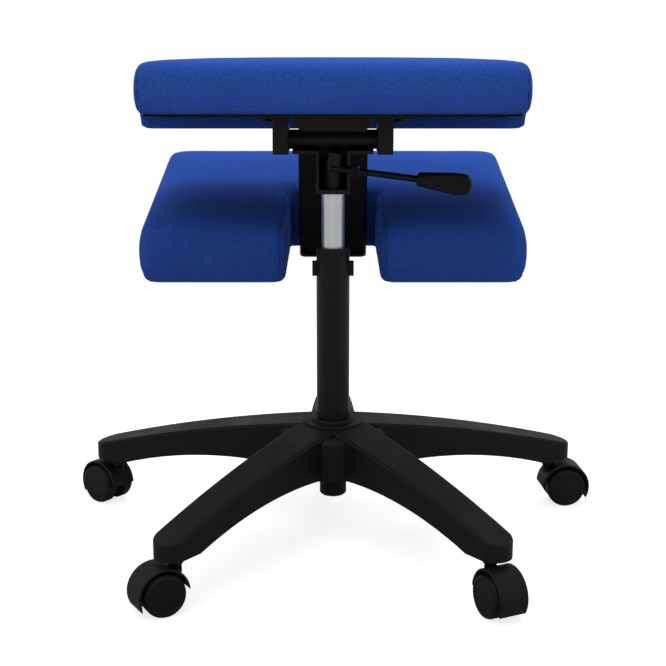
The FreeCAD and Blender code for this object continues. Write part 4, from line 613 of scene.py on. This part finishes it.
seams = []
for side, sign in (("right", 1), ("left", -1)):
    seams.append(sew_seam(
        seat_cushion, SEAT_PLACE, mirrored(SEAT_SEAM_SPOT, sign), mirrored(SEAT_SEAM_FACING, sign),
        whole_loop, f"seat_seam_{side}", "seat"))
    seams.append(sew_seam(
        knee_cushion, KNEE_PLACE, mirrored(NOTCH_SEAM_SPOT, sign), mirrored(NOTCH_SEAM_FACING, sign),
        notch_edge, f"knee_notch_seam_{side}", "lift"))
print("seams:", [(seam.name, len(seam.data.vertices)) for seam in seams])

# %% [markdown]
# ## Cloth coordinates
# A weave has to follow the cloth, so each face takes its UV coordinates from the two cushion axes that lie
# most nearly in it, in metres. The cushion stands for its CAD solid, which stays in the model for collision.

# %% Finish the cushions
# For a face that looks along X, Y or Z: the two axes that lie in it
AXES_IN_FACE = ((1, 2), (0, 2), (0, 1))


def lay_cloth(piece, place):
    """Gives each face UV coordinates in metres along the cushion's own axes."""
    to_local = place.inverted()
    turn = to_local.to_3x3()
    shape = bmesh.new()
    shape.from_mesh(piece.data)
    layer = shape.loops.layers.uv.new("cloth")
    for face in shape.faces:
        face.smooth = True
        across = turn @ face.normal
        sizes = [abs(value) for value in across]
        first, second = AXES_IN_FACE[sizes.index(max(sizes))]
        for loop in face.loops:
            spot = to_local @ loop.vert.co
            loop[layer].uv = (spot[first], spot[second])
    shape.to_mesh(piece.data)
    shape.free()


for piece, place, node, body in (
        (seat_cushion, SEAT_PLACE, "seat_cushion", "seat"),
        (knee_cushion, KNEE_PLACE, "knee_cushion", "lift")):
    lay_cloth(piece, place)
    piece.data.materials.clear()
    piece.data.materials.append(blue_cloth)
    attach(piece, body)
    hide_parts(node)
    print(piece.name, "faces", len(piece.data.polygons))

# %% [markdown]
# ## Hems and staples
# Turned over, a cushion shows how it was made: the cover is drawn round the board's edge, and the lining is
# folded into a hem and stapled over it. The hem is a flat strip that follows the board's outline, with mitred
# corners. A staple is a flat wire, 10 mm wide, so a stretched and bevelled cube makes one, and copies of it
# follow the hem, about 42 mm apart.

# %% Hem and staple the linings
HEM_HALF = 6 * MM
HEM_THICK = 2.2 * MM
HEM_SUNK = 0.4 * MM
HEM_ROUND = 0.7 * MM
STAPLE_SIZE = (10 * MM, 1.2 * MM, 0.7 * MM)
STAPLE_ROUND = 0.2 * MM
STAPLE_SPACING = 42 * MM
# Middle lines of the hems on the undersides, in the cushions' own axes, in millimetres
SEAT_OUTLINE = ((-199, -148), (199, -148), (224, 126), (-224, 126))
KNEE_OUTLINE = (
    (72, -95), (218, -95), (205, 148), (-205, 148), (-218, -95), (-72, -95), (-68, 16), (68, 16))


def add_piece(label, shape, finish):
    """Makes a visible piece of a shape, with a finish."""
    piece = bpy.data.objects.new(label, bpy.data.meshes.new(label))
    shape.to_mesh(piece.data)
    shape.free()
    bpy.context.scene.collection.objects.link(piece)
    piece.data.materials.append(finish)
    return piece


def lay_hem(label, place, corners, body):
    """Lays a flat strip with mitred corners along a closed outline, just under the underside plane."""
    spots = [Vector(corner) for corner in corners]
    shape = bmesh.new()
    rings = []
    for index, spot in enumerate(spots):
        before = (spot - spots[index - 1]).normalized()
        after = (spots[(index + 1) % len(spots)] - spot).normalized()
        inward = (after - before).normalized()
        reach = HEM_HALF / abs(inward.cross(after).z)
        ring = []
        for side, height in ((1, HEM_SUNK), (-1, HEM_SUNK), (-1, -HEM_THICK), (1, -HEM_THICK)):
            ring.append(shape.verts.new(place @ (spot + inward * reach * side + Vector((0, 0, height)))))
        rings.append(ring)
    for index, ring in enumerate(rings):
        following = rings[(index + 1) % len(rings)]
        for side in range(4):
            other = (side + 1) % 4
            shape.faces.new((ring[side], ring[other], following[other], following[side]))
    bmesh.ops.recalc_face_normals(shape, faces=shape.faces)
    long_edges = [edge for edge in shape.edges if edge.calc_length() > 4 * HEM_HALF]
    bmesh.ops.bevel(
        shape, geom=long_edges, offset=HEM_ROUND, segments=2, profile=0.5, affect="EDGES", material=-1)
    piece = add_piece(label, shape, lining)
    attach(piece, body)


def staple_rows(label, place, corners, spacing, body):
    """Puts staples along a closed outline on the underside plane, each along its own edge."""
    shape = bmesh.new()
    size = Matrix.Diagonal((*STAPLE_SIZE, 1.0))
    count = 0
    for start, end in zip(corners, corners[1:] + corners[:1]):
        run = Vector(end) - Vector(start)
        number = max(1, round(run.length / spacing))
        angle = math.atan2(run.y, run.x)
        for index in range(number):
            spot = Vector(start) + run * ((index + 0.5) / number)
            where = place @ Matrix.Translation(spot) @ Matrix.Rotation(angle, 4, "Z")
            made = bmesh.ops.create_cube(shape, size=1.0, matrix=where @ size)
            edges = list({edge for vertex in made["verts"] for edge in vertex.link_edges})
            bmesh.ops.bevel(
                shape, geom=edges, offset=STAPLE_ROUND, segments=1, profile=0.5, affect="EDGES", material=-1)
            count += 1
    piece = add_piece(label, shape, black_oxide)
    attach(piece, body)
    print(label, count)


for cushion, place, outline, low, body in (
        ("seat", SEAT_PLACE, SEAT_OUTLINE, SEAT_LOW, "seat"), ("knee", KNEE_PLACE, KNEE_OUTLINE, 0, "lift")):
    corners = [(across * MM, along * MM, low) for across, along in outline]
    lay_hem(f"{cushion}_lining_hem", place, corners, body)
    under_hem = place @ Matrix.Translation((0, 0, -HEM_THICK))
    staple_rows(f"{cushion}_staples", under_hem, corners, STAPLE_SPACING, body)

# %% [markdown]
# ## A white studio
# The picture has a pure white ground with only soft shadows under the casters. An even white sky gives much
# of the light. One big softbox above the rear and one above the front shape the cushions, and three weak ones
# behind the camera and at the sides open the shadows. The front one would streak the tops of the legs, so
# reflections leave it out. The floor is a disc whose material fades out to the white sky behind it, and for
# the camera it glows a little, so that lit floor is white while shadow stays grey.

# %% Floor, sky and lamps
FLOOR_RADIUS = 2.2
FADE_START = 0.55
FADE_END = 1.35
FLOOR_GLOW = 0.78
SKY_FILL = 0.42
SKY_MIRRORED = 0.65

floor_mesh = bpy.data.meshes.new("studio_floor")
disc = bmesh.new()
bmesh.ops.create_circle(disc, cap_ends=True, segments=96, radius=FLOOR_RADIUS)
disc.to_mesh(floor_mesh)
disc.free()
floor = bpy.data.objects.new("studio_floor", floor_mesh)
bpy.context.scene.collection.objects.link(floor)

paper, tree, shader, place = start_finish("white_studio_paper", Roughness=0.9, Specular_IOR_Level=0.0)
shader.inputs["Base Color"].default_value = linear("#bcbcbc")
reach = add_node(tree, "ShaderNodeVectorMath", {0: place["Object"]}, operation="LENGTH")
fade = add_node(tree, "ShaderNodeMapRange", {
    "Value": reach.outputs["Value"], "From Min": FADE_START, "From Max": FADE_END, "To Min": 0.0,
    "To Max": 1.0}, interpolation_type="SMOOTHSTEP")
rays = add_node(tree, "ShaderNodeLightPath")
glow = add_node(tree, "ShaderNodeMath", {
    0: rays.outputs["Is Camera Ray"], 1: FLOOR_GLOW}, operation="MULTIPLY")
shine = add_node(tree, "ShaderNodeEmission", {
    "Color": linear("#ffffff"), "Strength": glow.outputs["Value"]})
lit = add_node(tree, "ShaderNodeAddShader", {0: shader.outputs["BSDF"], 1: shine.outputs["Emission"]})
clear = add_node(tree, "ShaderNodeBsdfTransparent")
mixed = add_node(tree, "ShaderNodeMixShader", {
    "Fac": fade.outputs["Result"], 1: lit.outputs["Shader"], 2: clear.outputs["BSDF"]})
tree.links.new(mixed.outputs["Shader"], tree.nodes["Material Output"].inputs["Surface"])
floor.data.materials.append(paper)

sky = bpy.data.worlds.new("white_sky")
sky.use_nodes = True
bpy.context.scene.world = sky
tree = sky.node_tree
rays = add_node(tree, "ShaderNodeLightPath")
seen = add_node(tree, "ShaderNodeMath", {
    0: rays.outputs["Is Camera Ray"], 1: rays.outputs["Is Transmission Ray"]}, operation="MAXIMUM")
in_mirrors = add_node(tree, "ShaderNodeMapRange", {
    "Value": rays.outputs["Is Glossy Ray"], "To Min": SKY_FILL, "To Max": SKY_MIRRORED})
strength = add_node(tree, "ShaderNodeMath", {
    0: seen.outputs["Value"], 1: in_mirrors.outputs["Result"]}, operation="MAXIMUM")
background = tree.nodes["Background"]
background.inputs["Color"].default_value = linear("#ffffff")
tree.links.new(strength.outputs["Value"], background.inputs["Strength"])


def add_softbox(name, spot, target, width, height, power):
    """A rectangular studio light that looks at a point."""
    lamp = bpy.data.lights.new(name, "AREA")
    lamp.shape = "RECTANGLE"
    lamp.size = width
    lamp.size_y = height
    lamp.energy = power
    holder = bpy.data.objects.new(name, lamp)
    bpy.context.scene.collection.objects.link(holder)
    holder.location = spot
    aim = Vector(target) - Vector(spot)
    holder.rotation_euler = aim.to_track_quat("-Z", "Y").to_euler()
    return holder


add_softbox("rear_overhead_softbox", (-0.4, -1.3, 2.4), (0.0, 0.0, 0.4), width=1.6, height=1.6, power=17.0)
front_softbox = add_softbox(
    "front_overhead_softbox", (0.3, 1.0, 2.2), (0.0, 0.2, 0.4), width=1.4, height=1.4, power=36.0)
front_softbox.visible_glossy = False
add_softbox("rear_low_softbox", (-0.3, -2.6, 0.6), (0.0, 0.0, 0.5), width=2.4, height=0.7, power=2.0)
add_softbox("left_softbox", (-2.2, -0.2, 0.9), (0.0, 0.1, 0.4), width=1.2, height=0.8, power=3.0)
add_softbox("right_softbox", (2.2, -0.2, 0.9), (0.0, 0.1, 0.4), width=1.2, height=0.8, power=3.0)
print("studio:", floor.name, sky.name)

# %% [markdown]
# ## Camera
# The picture was taken from behind the chair, a little above the seat, with a long lens. The camera stands
# 1.84 m behind the column at a height of 0.73 m and looks down by 14.6 degrees. An 84 mm lens on a 36 mm
# sensor gives the same frame.

# %% Camera and view
CAMERA_PLACE = (0.0, -1.837, 0.731)
LOOKS_DOWN = 14.57

camera = bpy.data.objects.new("camera", bpy.data.cameras.new("camera"))
bpy.context.scene.collection.objects.link(camera)
camera.location = CAMERA_PLACE
camera.rotation_euler = (math.radians(90 - LOOKS_DOWN), 0.0, 0.0)
camera.data.lens = 84.0
camera.data.sensor_width = 36.0
bpy.context.scene.camera = camera
bpy.context.scene.view_settings.view_transform = "Standard"
